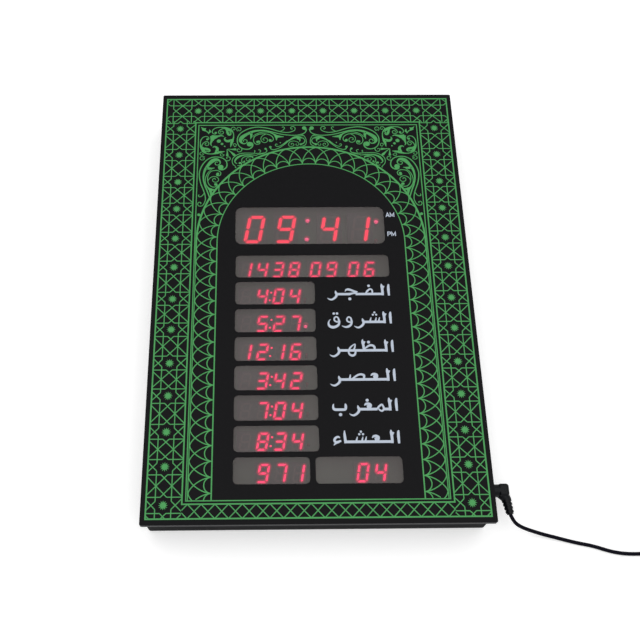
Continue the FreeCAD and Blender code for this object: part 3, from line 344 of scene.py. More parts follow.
# %% Adapter pins
def sleeved_pins(name, sleeve_top, row_end):
    """Plated brass. The two pins of the front row wear black sleeves on the half next to the body."""
    net = new_net(name)
    sleeve = net.math("MULTIPLY", net.math("LESS_THAN", net.axis("Z"), sleeve_top * MM),
                      net.math("LESS_THAN", net.axis("Y"), row_end * MM))
    plating = net.ramp(net.noise(900.0, 2.0), (0.56, 0.55, 0.52), (0.70, 0.69, 0.66))
    colour = net.add("Mix", {"data_type": "RGBA"}, Factor=sleeve, i6=plating, i7=(0.012, 0.012, 0.013, 1))
    return net.done(Base_Color=colour.outputs[2], Metallic=net.math("SUBTRACT", 1.0, sleeve),
                    Roughness=net.scaled(sleeve, 0.0, 1.0, 0.2, 0.5))


sleeves_top, front_row_end = 37.0, -90.0
dress(sleeved_pins("pins_nickel_and_sleeves", sleeves_top, front_row_end), "adapter_pins")


# %% Boards and ribbon
def circuit_board(name):
    """Green solder mask: lighter lines where square-cornered copper tracks run beneath it."""
    net = new_net(name)
    tracks = net.add("TexBrick", {"offset": 0.37, "squash": 0.6}, Vector=net.place(), Scale=260.0,
                     Mortar_Size=0.012, Color1=(0, 0, 0, 1), Color2=(0, 0, 0, 1), Mortar=(1, 1, 1, 1))
    fine = net.math("MULTIPLY_ADD", net.noise(700.0, 2.0), 0.25, tracks.outputs["Fac"])
    relief = net.add("Bump", Height=tracks.outputs["Fac"], Strength=0.4, Distance=0.00004)
    return net.done(Base_Color=net.ramp(fine, (0.006, 0.07, 0.022), (0.02, 0.17, 0.06)), Roughness=0.32,
                    Normal=relief.outputs[0])


def ridged_with_painted_groove_shade(name, dark, light, pitch, roughness):
    """Parallel ridges of a given pitch (mm), as on flat cable, with painted shade: darker in the grooves,
    lighter on the ridge tops.
    """
    net = new_net(name)
    wave = net.add("TexWave", {"wave_type": "BANDS", "bands_direction": "X", "wave_profile": "SIN"},
                   Vector=net.place(), Scale=math.pi / (10 * pitch * MM), Distortion=0.0).outputs["Fac"]
    relief = net.add("Bump", Height=wave, Strength=0.6, Distance=0.0003)
    # Painted shade: the wave that raises the ridges also darkens the colour in the grooves.
    return net.done(Base_Color=net.ramp(wave, dark, light), Roughness=roughness, Normal=relief.outputs[0])


dress(circuit_board("solder_mask_green"), "display_board", "control_board", "button_board")
dress(ridged_with_painted_groove_shade("ribbon_grey_pvc_painted_groove_shade", (0.22, 0.22, 0.23), (0.36, 0.36, 0.37), 1.27, 0.5), "ribbon_cable")

# %% [markdown]
# ## The face: tinted acrylic, and the printed film on it
# The front is a 4.7 mm sheet of grey acrylic. A black film is printed with the ornament and bonded to
# its front, with ten windows left clear. Through a window the sheet looks mid grey and smoky, and only
# lit digits are bright enough to shine out. That mid grey is partly the smoke tint and partly painted
# reflection: the pale sky mirrored by the glossy sheet is painted into its colour, while the shader's own
# reflection is kept very weak. Real glass shaders would need many bounces of light, so the sheet is a
# grey surface that is partly see-through: the same look, at a fixed share, from every side.
# The sawn edges are dark and matt: the nodes take them to be what lies far enough from the middle.

# %% Acrylic sheet
sawn_x, sawn_y, window_cover = 148.0, 222.0, 0.42
net = new_net("acrylic_smoke_and_painted_reflection")
haze = net.noise(900.0, 3.0)
# Painted reflection: the window grey stands partly for the smoke tint and partly for the pale sky mirrored in
# the gloss.
smoke_and_painted_reflection = net.ramp(net.math("MULTIPLY_ADD", haze, 0.5, net.noise(18.0, 2.0)), (0.171, 0.153, 0.151),
                 (0.200, 0.178, 0.177), 0.5, 1.0)
past = [net.math("GREATER_THAN", net.math("ABSOLUTE", net.axis(name)), edge * MM)
        for name, edge in (("X", sawn_x), ("Y", sawn_y))]
sawn = net.math("MAXIMUM", *past)
sheet_colour_with_painted_reflection = net.add("Mix", {"data_type": "RGBA"}, Factor=sawn, i6=smoke_and_painted_reflection,
               i7=net.ramp(haze, (0.006, 0.006, 0.008), (0.020, 0.020, 0.024)))
dress(net.done(Base_Color=sheet_colour_with_painted_reflection.outputs[2], Alpha=net.scaled(sawn, 0.0, 1.0, window_cover, 1.0), Roughness=0.3,
               IOR=1.49, Specular_IOR_Level=0.02), "front_panel")

# %% Printed film
film = grained("film_satin_black", (0.0034, 0.0033, 0.0040), (0.0056, 0.0054, 0.0062), 0.42, 0.25, bump=0.12,
               depth=0.00002, Specular_IOR_Level=0.06)
dress(film, "printed_overlay")

# %% [markdown]
# ## Printed ink
# The ornament is drawn in thin green lines. Ink is a very thin layer with sharp edges, so every line
# is made as a real raised strip, 0.05 mm proud of the film. A strip follows a path: at each point the two
# edges lie half a width to either side, along the line that halves the corner. A straight stroke needs
# only two points. Strips that cross get slightly different heights, so that no two faces share a plane.

# %% Ink: one piece from many small shapes
film_top = 46.0
ink_sunk, ink_proud, ink_step, ink_orders = 0.05, 0.05, 0.0006, 61
mitre_limit = 0.4


def ink_mesh(name, strips, material):
    """Joins vertex and face arrays of several shapes into one piece that rides on the case."""
    points = np.vstack([p for p, _ in strips]) * MM
    starts = np.cumsum([0] + [len(p) for p, _ in strips[:-1]])
    faces = [tuple(corner + start for corner in face) for start, (_, own) in zip(starts, strips)
             for face in own]
    mesh = bpy.data.meshes.new(name)
    mesh.from_pydata(points.tolist(), [], faces)
    mesh.materials.append(material)
    piece = place_in_scene(name, mesh)
    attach(piece, "case")
    print(name, "faces:", len(faces))
    return piece


def levels(order, base):
    """Bottom and top height of a shape. The order lifts the top a little, so that crossings don't flicker."""
    return base - ink_sunk, base + ink_proud + ink_step * (order % ink_orders)


# %% Ink: a strip along a path
def ribbon(path, width, order=0, closed=False, base=film_top):
    """A flat strip along a path: edge points are the path plus and minus half the width along the mitre."""
    path = np.asarray(path, float)
    count = len(path)
    width = np.broadcast_to(np.asarray(width, float), count)
    steps = np.diff(np.vstack([path, path[:1]]) if closed else path, axis=0)
    steps /= np.linalg.norm(steps, axis=1)[:, None]
    before = np.vstack([steps[-1:], steps[:-1]]) if closed else np.vstack([steps[:1], steps])
    after = steps if closed else np.vstack([steps, steps[-1:]])
    mitre = before + after
    mitre /= np.maximum(np.linalg.norm(mitre, axis=1), 1e-6)[:, None]
    spread = width / 2 / np.maximum(np.einsum("ij,ij->i", mitre, after), mitre_limit)
    side = np.stack([-mitre[:, 1], mitre[:, 0]], axis=1) * spread[:, None]
    low, high = levels(order, base)
    corners = [np.column_stack([path + s * side, np.full(count, z)])
               for s, z in ((1, high), (-1, high), (-1, low), (1, low))]
    points = np.stack(corners, axis=1).reshape(-1, 3)
    here = np.arange(count if closed else count - 1)
    there = (here + 1) % count
    faces = [tuple(f) for k in range(4) for f in np.stack(
        [here * 4 + k, here * 4 + (k + 1) % 4, there * 4 + (k + 1) % 4, there * 4 + k], axis=1).tolist()]
    if not closed:
        last = 4 * (count - 1)
        faces += [(3, 2, 1, 0), (last, last + 1, last + 2, last + 3)]
    return points, faces


# %% Ink: a flat patch and a dot
def patch(outline, centre, order=0, base=film_top):
    """A flat shape round its centre: the outline at two heights, a fan on top and below, a wall between."""
    outline = np.asarray(outline, float)
    count = len(outline)
    low, high = levels(order, base)
    points = np.vstack([np.column_stack([outline, np.full(count, high)]),
                        np.column_stack([outline, np.full(count, low)]),
                        [(*centre, high), (*centre, low)]])
    here = np.arange(count)
    there = (here + 1) % count
    top, bottom = np.full(count, 2 * count), np.full(count, 2 * count + 1)
    faces = [(here, there, top), (there + count, here + count, bottom),
             (here + count, there + count, there, here)]
    return points, [tuple(f) for kind in faces for f in np.stack(kind, axis=1).tolist()]


def circle(x, y, radius, sides):
    """The points x + radius cos t, y + radius sin t, counter-clockwise."""
    turn = np.arange(sides) * 2 * math.pi / sides
    return np.column_stack([x + radius * np.cos(turn), y + radius * np.sin(turn)])


def dot(x, y, radius, order=0, base=film_top, sides=20):
    """A round patch."""
    return patch(circle(x, y, radius, sides), (x, y), order, base)


# %% Inks
ink_green = grained("ink_green", (0.046, 0.262, 0.072), (0.074, 0.37, 0.100), 0.45, 0.6, bump=0.05,
                    depth=0.00002, Specular_IOR_Level=0.25)
ink_white = grained("ink_pale_blue_white", (0.45, 0.51, 0.61), (0.54, 0.60, 0.70), 0.45, 0.5, bump=0.05,
                    depth=0.00002, Specular_IOR_Level=0.25)
print("inks:", ink_green.name, ink_white.name)

# %% [markdown]
# ### Frame lines
# Three thin rectangles frame the print: one near the edge of the film and a close pair inside it.

# %% Frame lines
outer_x, outer_top, outer_bottom = 145.25, 218.6, -218.7
inner_x, inner_top, inner_bottom = 115.1, 188.7, -206.4
inmost_x, inmost_top, inmost_bottom = 111.9, 185.3, -203.6
frame_rectangles = [(outer_x, outer_top, outer_bottom, 1.3), (inner_x, inner_top, inner_bottom, 1.25),
                    (inmost_x, inmost_top, inmost_bottom, 0.95)]
ink_mesh("print_frame_lines", [ribbon([(-x, bottom), (x, bottom), (x, top), (-x, top)], width, k, True)
                               for k, (x, top, bottom, width) in enumerate(frame_rectangles)],
         ink_green)

# %% [markdown]
# ### The star lattice
# The border is a classic straight-line lattice. Round each star, straight lines run along and across
# the band and turn by 45 degrees, so that neighbours weave into octagons and crosses. It is worked out once
# for a star at the origin, repeated along the band, cut to the band's rectangle, and laid down.

# %% Lattice: one cell's strokes
cell_pitch, band_half = 32.35, 15.2
along_line, turn_at = 6.8, 3.4
across_line, cross_turn = 6.75, 2.7


def cell_strokes():
    """Straight strokes round one star, as pairs of points (u along the band, w across it), in all mirrors."""
    diagonal = band_half + cross_turn
    strokes = np.array([((-cell_pitch / 2, along_line), (-turn_at, along_line)),
                        ((-turn_at, along_line), (-turn_at + band_half - along_line, band_half)),
                        ((across_line, -band_half), (across_line, -cross_turn)),
                        ((across_line, -cross_turn), (across_line + diagonal, band_half))])
    mirrors = np.array([(1, 1), (-1, 1), (1, -1), (-1, -1)])
    return (strokes[None] * mirrors[:, None, None, :]).reshape(-1, 2, 2)


def clipped(strokes, low, high):
    """Cuts every straight stroke to the rectangle low..high, by the share of its length that lies inside."""
    start, way = strokes[:, 0], strokes[:, 1] - strokes[:, 0]
    with np.errstate(divide="ignore", invalid="ignore"):
        a = (np.array(low) - start) / way
        b = (np.array(high) - start) / way
    flat = np.abs(way) < 1e-9
    inside = (start >= np.array(low)) & (start <= np.array(high))
    enter = np.where(flat, np.where(inside, -9.0, 9.0), np.minimum(a, b)).max(1).clip(0, 1)
    leave = np.where(flat, np.where(inside, 9.0, -9.0), np.maximum(a, b)).min(1).clip(0, 1)
    kept = leave - enter > 1e-4
    return np.stack([start + way * enter[:, None], start + way * leave[:, None]], axis=1)[kept]


# %% Lattice: the three starred bands
star_points, star_radius, star_waist = 12, 4.25, 0.52
side_stars = np.array([180.96, 148.6, 116.1, 84.8, 51.4, 20.0, -13.65, -44.9, -78.3, -109.5, -142.9,
                       -174.0, -207.2])
left_band_x, right_band_x, top_band_y, side_band_top = -130.8, 129.9, 203.5, 190.6
top_star_count, top_star_pitch = 10, 32.32
top_stars = (np.arange(top_star_count) - (top_star_count - 1) / 2) * top_star_pitch


def band_strokes(places):
    """The cell's strokes at every star of a band, stretched where the stars stand closer or wider."""
    step = (places[-1] - places[0]) / (len(places) - 1)
    more = np.arange(-2, len(places) + 2)
    even = places[0] + more * step
    real = np.interp(more, np.arange(len(places)), places)
    real[:2] = places[0] - step * np.array([2, 1])
    real[-2:] = places[-1] + step * np.array([1, 2])
    strokes = np.concatenate([cell_strokes() + [at, 0] for at in even])
    order = np.argsort(even)
    strokes[..., 0] = np.interp(strokes[..., 0], even[order], real[order])
    return strokes


side = band_strokes(side_stars)
side_bounds = [(left_band_x, -outer_x, -inner_x), (right_band_x, inner_x, outer_x)]
lattice = [clipped(side[..., ::-1] + [at, 0], (low, outer_bottom), (high, side_band_top))
           for at, low, high in side_bounds]
lattice.append(clipped(band_strokes(top_stars[::-1]) + [0, top_band_y], (-outer_x, inner_top),
                       (outer_x, outer_top)))
print("lattice strokes:", [len(band) for band in lattice])

# %% Lattice: the bottom band's crossed lines
cross_pitch, cross_first, lattice_width = 11.55, -110.3, 0.88
lattice_order, lattice_orders = 3, 57
cross_x = cross_first + cross_pitch * np.arange(-1, 21)
high_points, low_points = (np.column_stack([cross_x, np.full(len(cross_x), y)])
                           for y in (inner_bottom, outer_bottom))
crosses = np.concatenate([np.stack([high_points[:-1], low_points[1:]], axis=1),
                          np.stack([low_points[:-1], high_points[1:]], axis=1)])
lattice.append(clipped(crosses, (-inner_x, outer_bottom), (inner_x, inner_bottom)))
ink_mesh("print_star_lattice", [ribbon(stroke, lattice_width, lattice_order + k % lattice_orders)
                                for k, stroke in enumerate(np.concatenate(lattice))], ink_green)


# %% Stars
def star(x, y, order):
    """A solid star: the outline's radius goes up and down between two values."""
    corner = np.arange(2 * star_points)
    turn = corner * math.pi / star_points
    reach = np.where(corner % 2 == 0, star_radius, star_radius * star_waist)
    return patch(np.column_stack([x + reach * np.cos(turn), y + reach * np.sin(turn)]), (x, y), order)


star_places = [(x, y) for x in (left_band_x, right_band_x) for y in side_stars]
star_places += [(x, top_band_y) for x in top_stars[1:-1]]
ink_mesh("print_stars", [star(x, y, k) for k, (x, y) in enumerate(star_places)], ink_green)

# %% [markdown]
# ### The arch and its scales
# The dark field is a doorway: straight sides and a round top. Between its inner and outer line a row of
# half ellipses overlaps like scales: a tall one over every two steps, and a low one over each step.
# A place in the band is (distance along the arch, share of the way from the inner to the outer line).

# %% Arch: from distance along it to a point
arch_spring = 48.0
arch_inner, arch_outer = (90.5, 89.2), (110.5, 109.7)
arch_length = math.pi * sum(arch_inner) / 2
arch_run = arch_spring - inmost_bottom
print("arch, mm: round", round(arch_length, 1), "straight", round(arch_run, 1))


def arch_point(distance, share):
    """The left side going up, half an ellipse, and the right side going down, mixed between both lines."""
    distance = np.asarray(distance, float)
    turn = np.clip(distance / arch_length, 0, 1) * math.pi
    below = np.minimum(distance, 0) + np.minimum(arch_length - distance, 0)
    reach = [a + (b - a) * np.asarray(share) for a, b in zip(arch_inner, arch_outer)]
    return np.column_stack([-reach[0] * np.cos(turn), arch_spring + reach[1] * np.sin(turn) + below])


# %% Arch: its two lines, which change their width where the sides turn into the round top
width_from, width_to, arch_steps = -30, 15, 96
arch_way = np.concatenate([[-arch_run, width_from], np.linspace(0, arch_length, arch_steps + 1),
                           [arch_length - width_from, arch_length + arch_run]])
width_places = [width_from, width_to, arch_length - width_to, arch_length - width_from]
arch_lines = [ribbon(arch_point(arch_way, share), np.interp(arch_way, width_places, widths), order)
              for order, share, widths in ((4, 0, [1.15, 0.95, 0.95, 1.15]), (5, 1, [0.8, 1.9, 1.9, 0.8]))]
ink_mesh("print_arch_lines", arch_lines, ink_green)

# %% Arch: scales
straight_pitch, straight_first, straight_steps = 13.96, 40.0, 20
round_steps, round_angle = 22, math.radians(8.28)
scale_width, scale_steps, scale_orders = 0.92, 28, 9
tall_depth, tall_peak, tall_foot, tall_order = 0.985, 1.5, 0.6, 6
low_depth, low_peak, low_foot, low_order = 0.33, 2.0, 0.5, 16
round_first = (math.pi - round_angle * (round_steps - 1)) / 2
straight = straight_first - arch_spring - straight_pitch * np.arange(straight_steps)
knots = np.concatenate([straight[::-1],
                        (round_first + round_angle * np.arange(round_steps)) / math.pi * arch_length,
                        arch_length - straight])


def scale_arc(before, after, depth, peak, foot, order):
    """From knot to knot: the depth is (1 - t ** peak) ** foot, where t is 0 at the middle and 1 at a knot."""
    turn = np.linspace(0, math.pi, scale_steps + 1)
    middle, reach = (before + after) / 2, (after - before) / 2
    rise = (1 - np.abs(np.cos(turn)) ** peak).clip(0) ** foot
    arc = arch_point(middle - reach * np.cos(turn), depth * rise)
    return ribbon(arc[arc[:, 1] > inmost_bottom], scale_width, order)


scales = [scale_arc(a, b, tall_depth, tall_peak, tall_foot, tall_order + k % scale_orders)
          for k, (a, b) in enumerate(zip(knots, knots[2:]))]
scales += [scale_arc(a, b, low_depth, low_peak, low_foot, low_order + k % scale_orders)
           for k, (a, b) in enumerate(zip(knots[1:], knots[2:-1]))]
ink_mesh("print_arch_scales", scales, ink_green)

# %% [markdown]
# ### Scrolls in the corners
# Over each shoulder of the arch the print fills the corner with scrolls: an old kind of ornament, made of
# stems that curl inwards, swell into leaves and end in berries. A scroll is drawn as a smooth line through
# a few points, as a sign painter would, with a width that changes along it. The points are distances from
# the frame's corner, across and down. One arm is written down, and the other is its mirror image in the
# corner's diagonal, a little shorter because the side field is. The right corner mirrors the left.

# %% Scrolls: a smooth line through points
corner_x, corner_y, side_shrink = -114.0, 187.0, 0.983


def smooth(points, steps=6):
    """Catmull-Rom: between two points, a cubic whose slope at each is half the way between its neighbours."""
    padded = np.vstack([2 * points[0] - points[1], points, 2 * points[-1] - points[-2]])
    a, b, c, d = padded[:-3, None], padded[1:-2, None], padded[2:-1, None], padded[3:, None]
    t = (np.arange(steps) / steps)[None, :, None]
    squared, cubed = (2 * a - 5 * b + 4 * c - d) * t ** 2, (3 * b - a - 3 * c + d) * t ** 3
    curve = 0.5 * (2 * b + (c - a) * t + squared + cubed)
    return np.vstack([curve.reshape(-1, 2), points[-1:]])


def vine(widths, points, order):
    """A strip along the smooth line, whose width runs evenly through the given widths."""
    line = smooth(points)
    share, marks = np.linspace(0, 1, len(line)), np.linspace(0, 1, len(widths))
    return ribbon(line, np.interp(share, marks, widths), order)


# %% Scrolls: stems and leaves on both arms, each as its widths and its points
vines_both = [([0.7, 0.9, 1, 1], [(20.4, 11.4), (18.6, 12.8), (16.3, 11.2), (16.2, 8.3), (18.3, 5.8),
               (21.8, 4.4), (26, 4.2)]),
              ([1.2, 1.5, 1.4, 1.6, 1, 1, 1.6, 3.2, 2.2, 0.5], [(25.6, 4.4), (28.8, 4.6), (32.7, 5.9),
               (35.6, 8), (37.5, 11.5), (37.9, 15.4), (37.5, 18.6), (36.4, 21.5), (35.6, 25), (34.9, 29)]),
              ([0.7, 2.2, 2.6, 2.2, 1.3, 0.9, 0.8], [(28.2, 5.3), (30.8, 7.7), (31.5, 10.6), (32.6, 13.1),
               (34, 13.8), (35.1, 12.5), (34.5, 11), (33.5, 11.2)]),
              ([1.2, 2.3, 0.9], [(27.6, 5), (32.1, 7.1), (35.8, 10.6)]),
              ([1, 0.8, 0.7], [(28.2, 5.6), (25.1, 6.7), (22.8, 9), (22.6, 11.4), (24.7, 12.8), (26.9, 12.2),
               (27.4, 10.3), (26, 9), (24.4, 9.6), (24.5, 11)]),
              ([2.9, 3.2, 2.8, 2, 1.2, 0.5], [(36.9, 20.2), (34, 21.2), (31.1, 21.5), (29.1, 19.9),
               (28.8, 17.9), (30.1, 16.9)]),
              ([0.7, 0.7, 0.6], [(35.1, 7.8), (35.6, 5.3), (37.5, 4), (39.2, 5), (39.2, 6.9), (37.9, 7.6),
               (37.4, 6.3)]),
              ([0.7, 0.7, 0.6], [(41.8, 9.3), (40.9, 6.7), (42, 4.6), (44.2, 4.5), (45.4, 6.4), (44.4, 8.7),
               (42.8, 8.3), (43.2, 6.9)]),
              ([0.7], [(37.8, 27.2), (37.7, 25.5), (39, 24.7), (40.5, 25.6), (40.5, 27.6), (39.1, 28.5),
               (38.5, 27.2)]),
              ([0.9, 0.8, 0.7], [(46.4, 30), (46.3, 32.8), (44.9, 34.6), (42.6, 34.6), (41.5, 32.7),
               (42.6, 31.1), (44.2, 31.9)]),
              ([0.8, 0.8, 0.8, 0.9, 1, 1.1, 1.1, 1.1, 1.1, 1.1, 1.4, 2.2], [(98.4, 6.4), (96.8, 6.7),
               (96.3, 4.8), (98.6, 3.5), (100.8, 5.3), (99.9, 8.5), (94.7, 10.8), (89.6, 10.8), (83.2, 9.2),
               (73.6, 5.8), (64, 4.2), (57.7, 4.8), (51.3, 7.1), (45.5, 11.2), (42.4, 16), (41.7, 21.2),
               (42.8, 26.3), (45.5, 29.8), (49.4, 31.5), (53.8, 31.3), (56.7, 28.8), (57.2, 25.6),
               (55.6, 23.6)]),
              ([1.2, 1.5, 2.1, 3, 4.3, 3, 1.6, 1, 0.8, 0.8, 0.8, 0.8], [(76.8, 10.3), (70.5, 8.7),
               (64.1, 8.5), (57.7, 9.7), (51.3, 13.1), (46.8, 16.7), (44.9, 20.5), (45.8, 23.2),
               (47.9, 24.7), (50.3, 24.4), (51.7, 22.4), (51.3, 20.5), (49.5, 19.7), (47.9, 20.6),
               (48.2, 22.2)]),
              ([3.2, 2.2, 0.5], [(55.6, 12.2), (55.9, 15.4), (55.1, 19.4)]),
              ([0.5, 0.7, 0.8, 0.8, 0.8, 1.4, 3.4, 0.5], [(57.1, 16.7), (59.6, 13.8), (64.1, 11.4),
               (69.2, 10.3), (74.4, 10.9), (78.8, 13.1), (81.4, 16), (81.5, 20.8)]),
              ([0.8, 2.8, 0.5], [(79.2, 13.8), (83.3, 15.9), (89.2, 16.3)]),
              ([1.4, 0.85, 0.85, 0.85, 0.85, 0.85, 1.4], [(74.7, 19.4), (74.4, 21.5), (76.6, 22.1),
               (78.3, 19.9), (77.7, 16.7), (74.4, 13.8), (69.2, 12.6), (64.1, 13.1), (59.6, 15.7),
               (58.2, 19.9), (58.8, 23.4), (61.2, 25.6), (64.1, 24.9), (64.6, 22.4), (62.9, 21.3)]),
              ([0.75], [(70.5, 13), (67.3, 15.1), (65.6, 18.6), (66.7, 22.1), (69.6, 23.6), (72.1, 22.1),
               (72.4, 19.6), (70.8, 17.7), (68.7, 17.9), (67.9, 19.7), (69.4, 20.6)]),
              ([0.8, 0.8, 0.8], [(85.9, 9.5), (88.8, 7.6), (89.9, 5.4), (88.8, 4), (87.3, 4.6)])]
print("stems on both arms:", len(vines_both))

# %% Scrolls: stems of one arm only, of the middle, and along the arch
vines_top = [([2.2, 1, 1, 1, 1.1], [(110.6, 7.1), (112.3, 7.1), (110.9, 11.1), (105.8, 13.7), (99.2, 14.6),
              (88.3, 13.5), (76.8, 10.3)]),
             ([1.2, 0.8, 0.7], [(70.5, 31.1), (71.7, 33.3), (70.4, 35.9), (66.7, 37.5), (61.5, 38.5)]),
             ([1.2, 0.8, 0.8, 0.8], [(75.1, 29.2), (76.3, 31.7), (79.5, 32.2), (85.1, 29.7), (89.7, 25.6),
              (92.9, 22.1), (99.2, 16.8), (105.8, 15.4), (109, 15.1)]),
             ([0.8], [(63.1, 32.4), (64.7, 32.7), (65.4, 34.1), (64.4, 35.9)]),
             ([0.8], [(58.8, 35.9), (59.6, 34.9), (59.4, 33.7)]),
             ([0.75], [(105.8, 13.8), (109, 14.4), (111.4, 18.6), (111.9, 23.7), (110.6, 26.8),
              (108, 27.9)]),
             ([0.6, 2.1, 1.7, 1.2, 0.8], [(109.7, 18.3), (105.1, 17.2), (100, 17.7), (94.9, 20.5),
              (91, 24.4), (88.1, 27.2)]),
             ([0.8, 0.8, 0.7], [(92.8, 21.2), (88.8, 25.1), (85.3, 27.7), (82.1, 28.3), (80.4, 26.9),
              (81.1, 25.3), (82.6, 25.9)]),
             ([0.75, 0.8, 1.5], [(105.1, 18.3), (108.3, 18.1), (110.5, 20.8), (109.5, 24), (106.9, 25.6)]),
             ([2, 1.7, 0.5], [(102.6, 18.3), (105.4, 19.9), (105.1, 22.6)]),
             ([0.75, 0.65], [(100, 21.5), (95.8, 22.4), (93.8, 25.6), (95.1, 28.3), (97.8, 28.2),
              (99.2, 26.2), (97.9, 24.4), (96.4, 25.1)]),
             ([0.65], [(100.1, 21.8), (103.2, 22.9), (104.4, 25.5), (102.9, 27.2), (101.3, 26.4),
              (101.9, 25)])]
vines_side = [([1.2, 1.3, 1.5], [(16, 92.3), (14.6, 87.8), (13.1, 83.3), (11.5, 78.8), (9.9, 74.4),
               (9.5, 70.5)]),
              ([2.8, 2, 1.2], [(5, 109), (6.3, 109.7), (7.4, 111.5)])]
vines_middle = [([0.7, 1, 1], [(9, 8.3), (10.6, 9.6), (12.8, 12.5)]),
                ([0.8, 2.4, 0.5], [(11.9, 11.7), (13.6, 9.6), (13, 6.9)]),
                ([0.5, 1.1, 2.7], [(31.5, 31.4), (35.3, 34.9), (38.7, 38.5)])]
vines_pair = [([0.5, 1.1, 2.4], [(32.1, 31.3), (35.9, 31.7), (39.6, 31.8)]),
              ([2.4, 2.6, 1.4, 0.4], [(15.4, 15.1), (20.5, 15.7), (25.3, 14.7), (28.1, 16)]),
              ([2.8, 2.6, 0.8], [(15.7, 16), (18.3, 17.6), (21.5, 16.8)])]
vines_arch = [([0.7, 0.8, 0.9, 0.8, 0.7], [(70.8, 35.9), (64.1, 36.9), (54.5, 36.4), (46.2, 36.7), (41, 39),
               (37.8, 42.3), (36.8, 46.2), (37.8, 50), (40.5, 52.8)]),
              ([0.6, 1.1, 1.1, 1.7, 2.3, 1.7, 1, 0.8], [(61.9, 39.5), (56.4, 38.6), (51.3, 38.5),
               (46.2, 39.4), (42.3, 41.7), (39.9, 44.9), (39.7, 47.6), (41.8, 49.2)]),
              ([0.7, 0.8, 1.4], [(42, 51.3), (44.9, 51.7), (46.3, 50), (45.6, 48.2), (44.4, 47.9)]),
              ([1.3, 0.7, 0.65], [(58, 41.2), (54.5, 40.1), (50, 40.5), (46.9, 42.9), (46.4, 46.2),
               (47.8, 48.1), (49.5, 47.2), (49.1, 45.6)]),
              ([0.65], [(58, 42.6), (56.4, 41.2), (53.8, 41.2), (51.3, 42.6), (51, 44.9), (52.9, 45.9),
               (54.5, 44.4), (53.5, 43.3)])]
print("other stems:", len(vines_top + vines_side + vines_middle + vines_pair + vines_arch))

# %% Scrolls: berries as (across, down, radius), the corner's star, and the eyes in the leaves
berries_both = [(19.6, 11.2, 1.3), (54.2, 25.4, 2.8), (75.3, 20.6, 1.3), (62.4, 22.6, 1.5)]
berries_top = [(110.1, 5.5, 2.2), (70.4, 31.2, 1.2), (75.3, 29.0, 1.3), (59.4, 33.6, 0.64),
               (85.4, 23.7, 0.64), (106.4, 25.8, 1.3), (96.7, 25.6, 0.58)]
berries_side = [(5.0, 109.0, 1.5)]
berries_middle = [(22.9, 21.5, 2.1), (26.2, 25.0, 1.4), (29.0, 28.0, 0.83), (38.7, 38.5, 1.4)]
berries_pair = [(39.6, 31.8, 1.3)]
berries_arch = [(40.4, 53.7, 0.71), (44.5, 48.5, 1.2), (48.7, 46.7, 0.77), (54.9, 44.0, 0.64)]
leaf_eyes = [(55.3, 11.4, 0.83), (34.9, 21.6, 0.71)]
corner_star = [(4.2, 3.8), (7.7, 5.4), (9.7, 5.0), (9.1, 7.1), (9.7, 9.6), (7.2, 8.7), (5.4, 7.8), (5.6, 6.4)]
print("berries on both arms:", len(berries_both), "eyes:", len(leaf_eyes))


# %% Scrolls: laid in both corners
def in_corner(points, arm, flip):
    """Corner distances to the face: the side arm swaps across and down, and the right corner changes sign."""
    across, down = np.asarray(points, float).T[:2]
    if arm == "side":
        across, down = down, across * side_shrink
    return np.column_stack([flip * (corner_x + across), corner_y - down])


vine_order, berry_order, eye_order, berry_sides, eye_sides = 6, 45, 60, 16, 3
arms = [("top", vines_both + vines_top + vines_middle + vines_pair + vines_arch,
         berries_both + berries_top + berries_middle + berries_pair + berries_arch, leaf_eyes),
        ("side", vines_both + vines_pair, berries_both + berries_pair, leaf_eyes),
        ("own", vines_side, berries_side, [])]
scroll_strips, eyes = [], []
for flip in (1, -1):
    for arm, vines, berries, arm_eyes in arms:
        scroll_strips += [vine(widths, in_corner(points, arm, flip), vine_order + k)
                          for k, (widths, points) in enumerate(vines)]
        scroll_strips += [dot(*in_corner([berry], arm, flip)[0], berry[2], berry_order + k, sides=berry_sides)
                          for k, berry in enumerate(berries)]
        eyes += [dot(*in_corner([eye], arm, flip)[0], eye[2], eye_order, sides=eye_sides) for eye in arm_eyes]
    petals = in_corner(corner_star, "top", flip)[::-flip]
    scroll_strips.append(patch(petals, petals.mean(0), 1))
ink_mesh("print_scrolls", scroll_strips, ink_green)
ink_mesh("print_scroll_eyes", eyes, film)

# %% [markdown]
# ### Names of the prayers
# Beside the rows of times stand the plain names of the prayers and of the sunrise. The letters are a broad
# pen's: a stroke swells and thins as it turns. Each letter is a few strokes about its own foot on the
# writing line, with widths. Long joining strokes on the line tie the letters, and dots finish them.

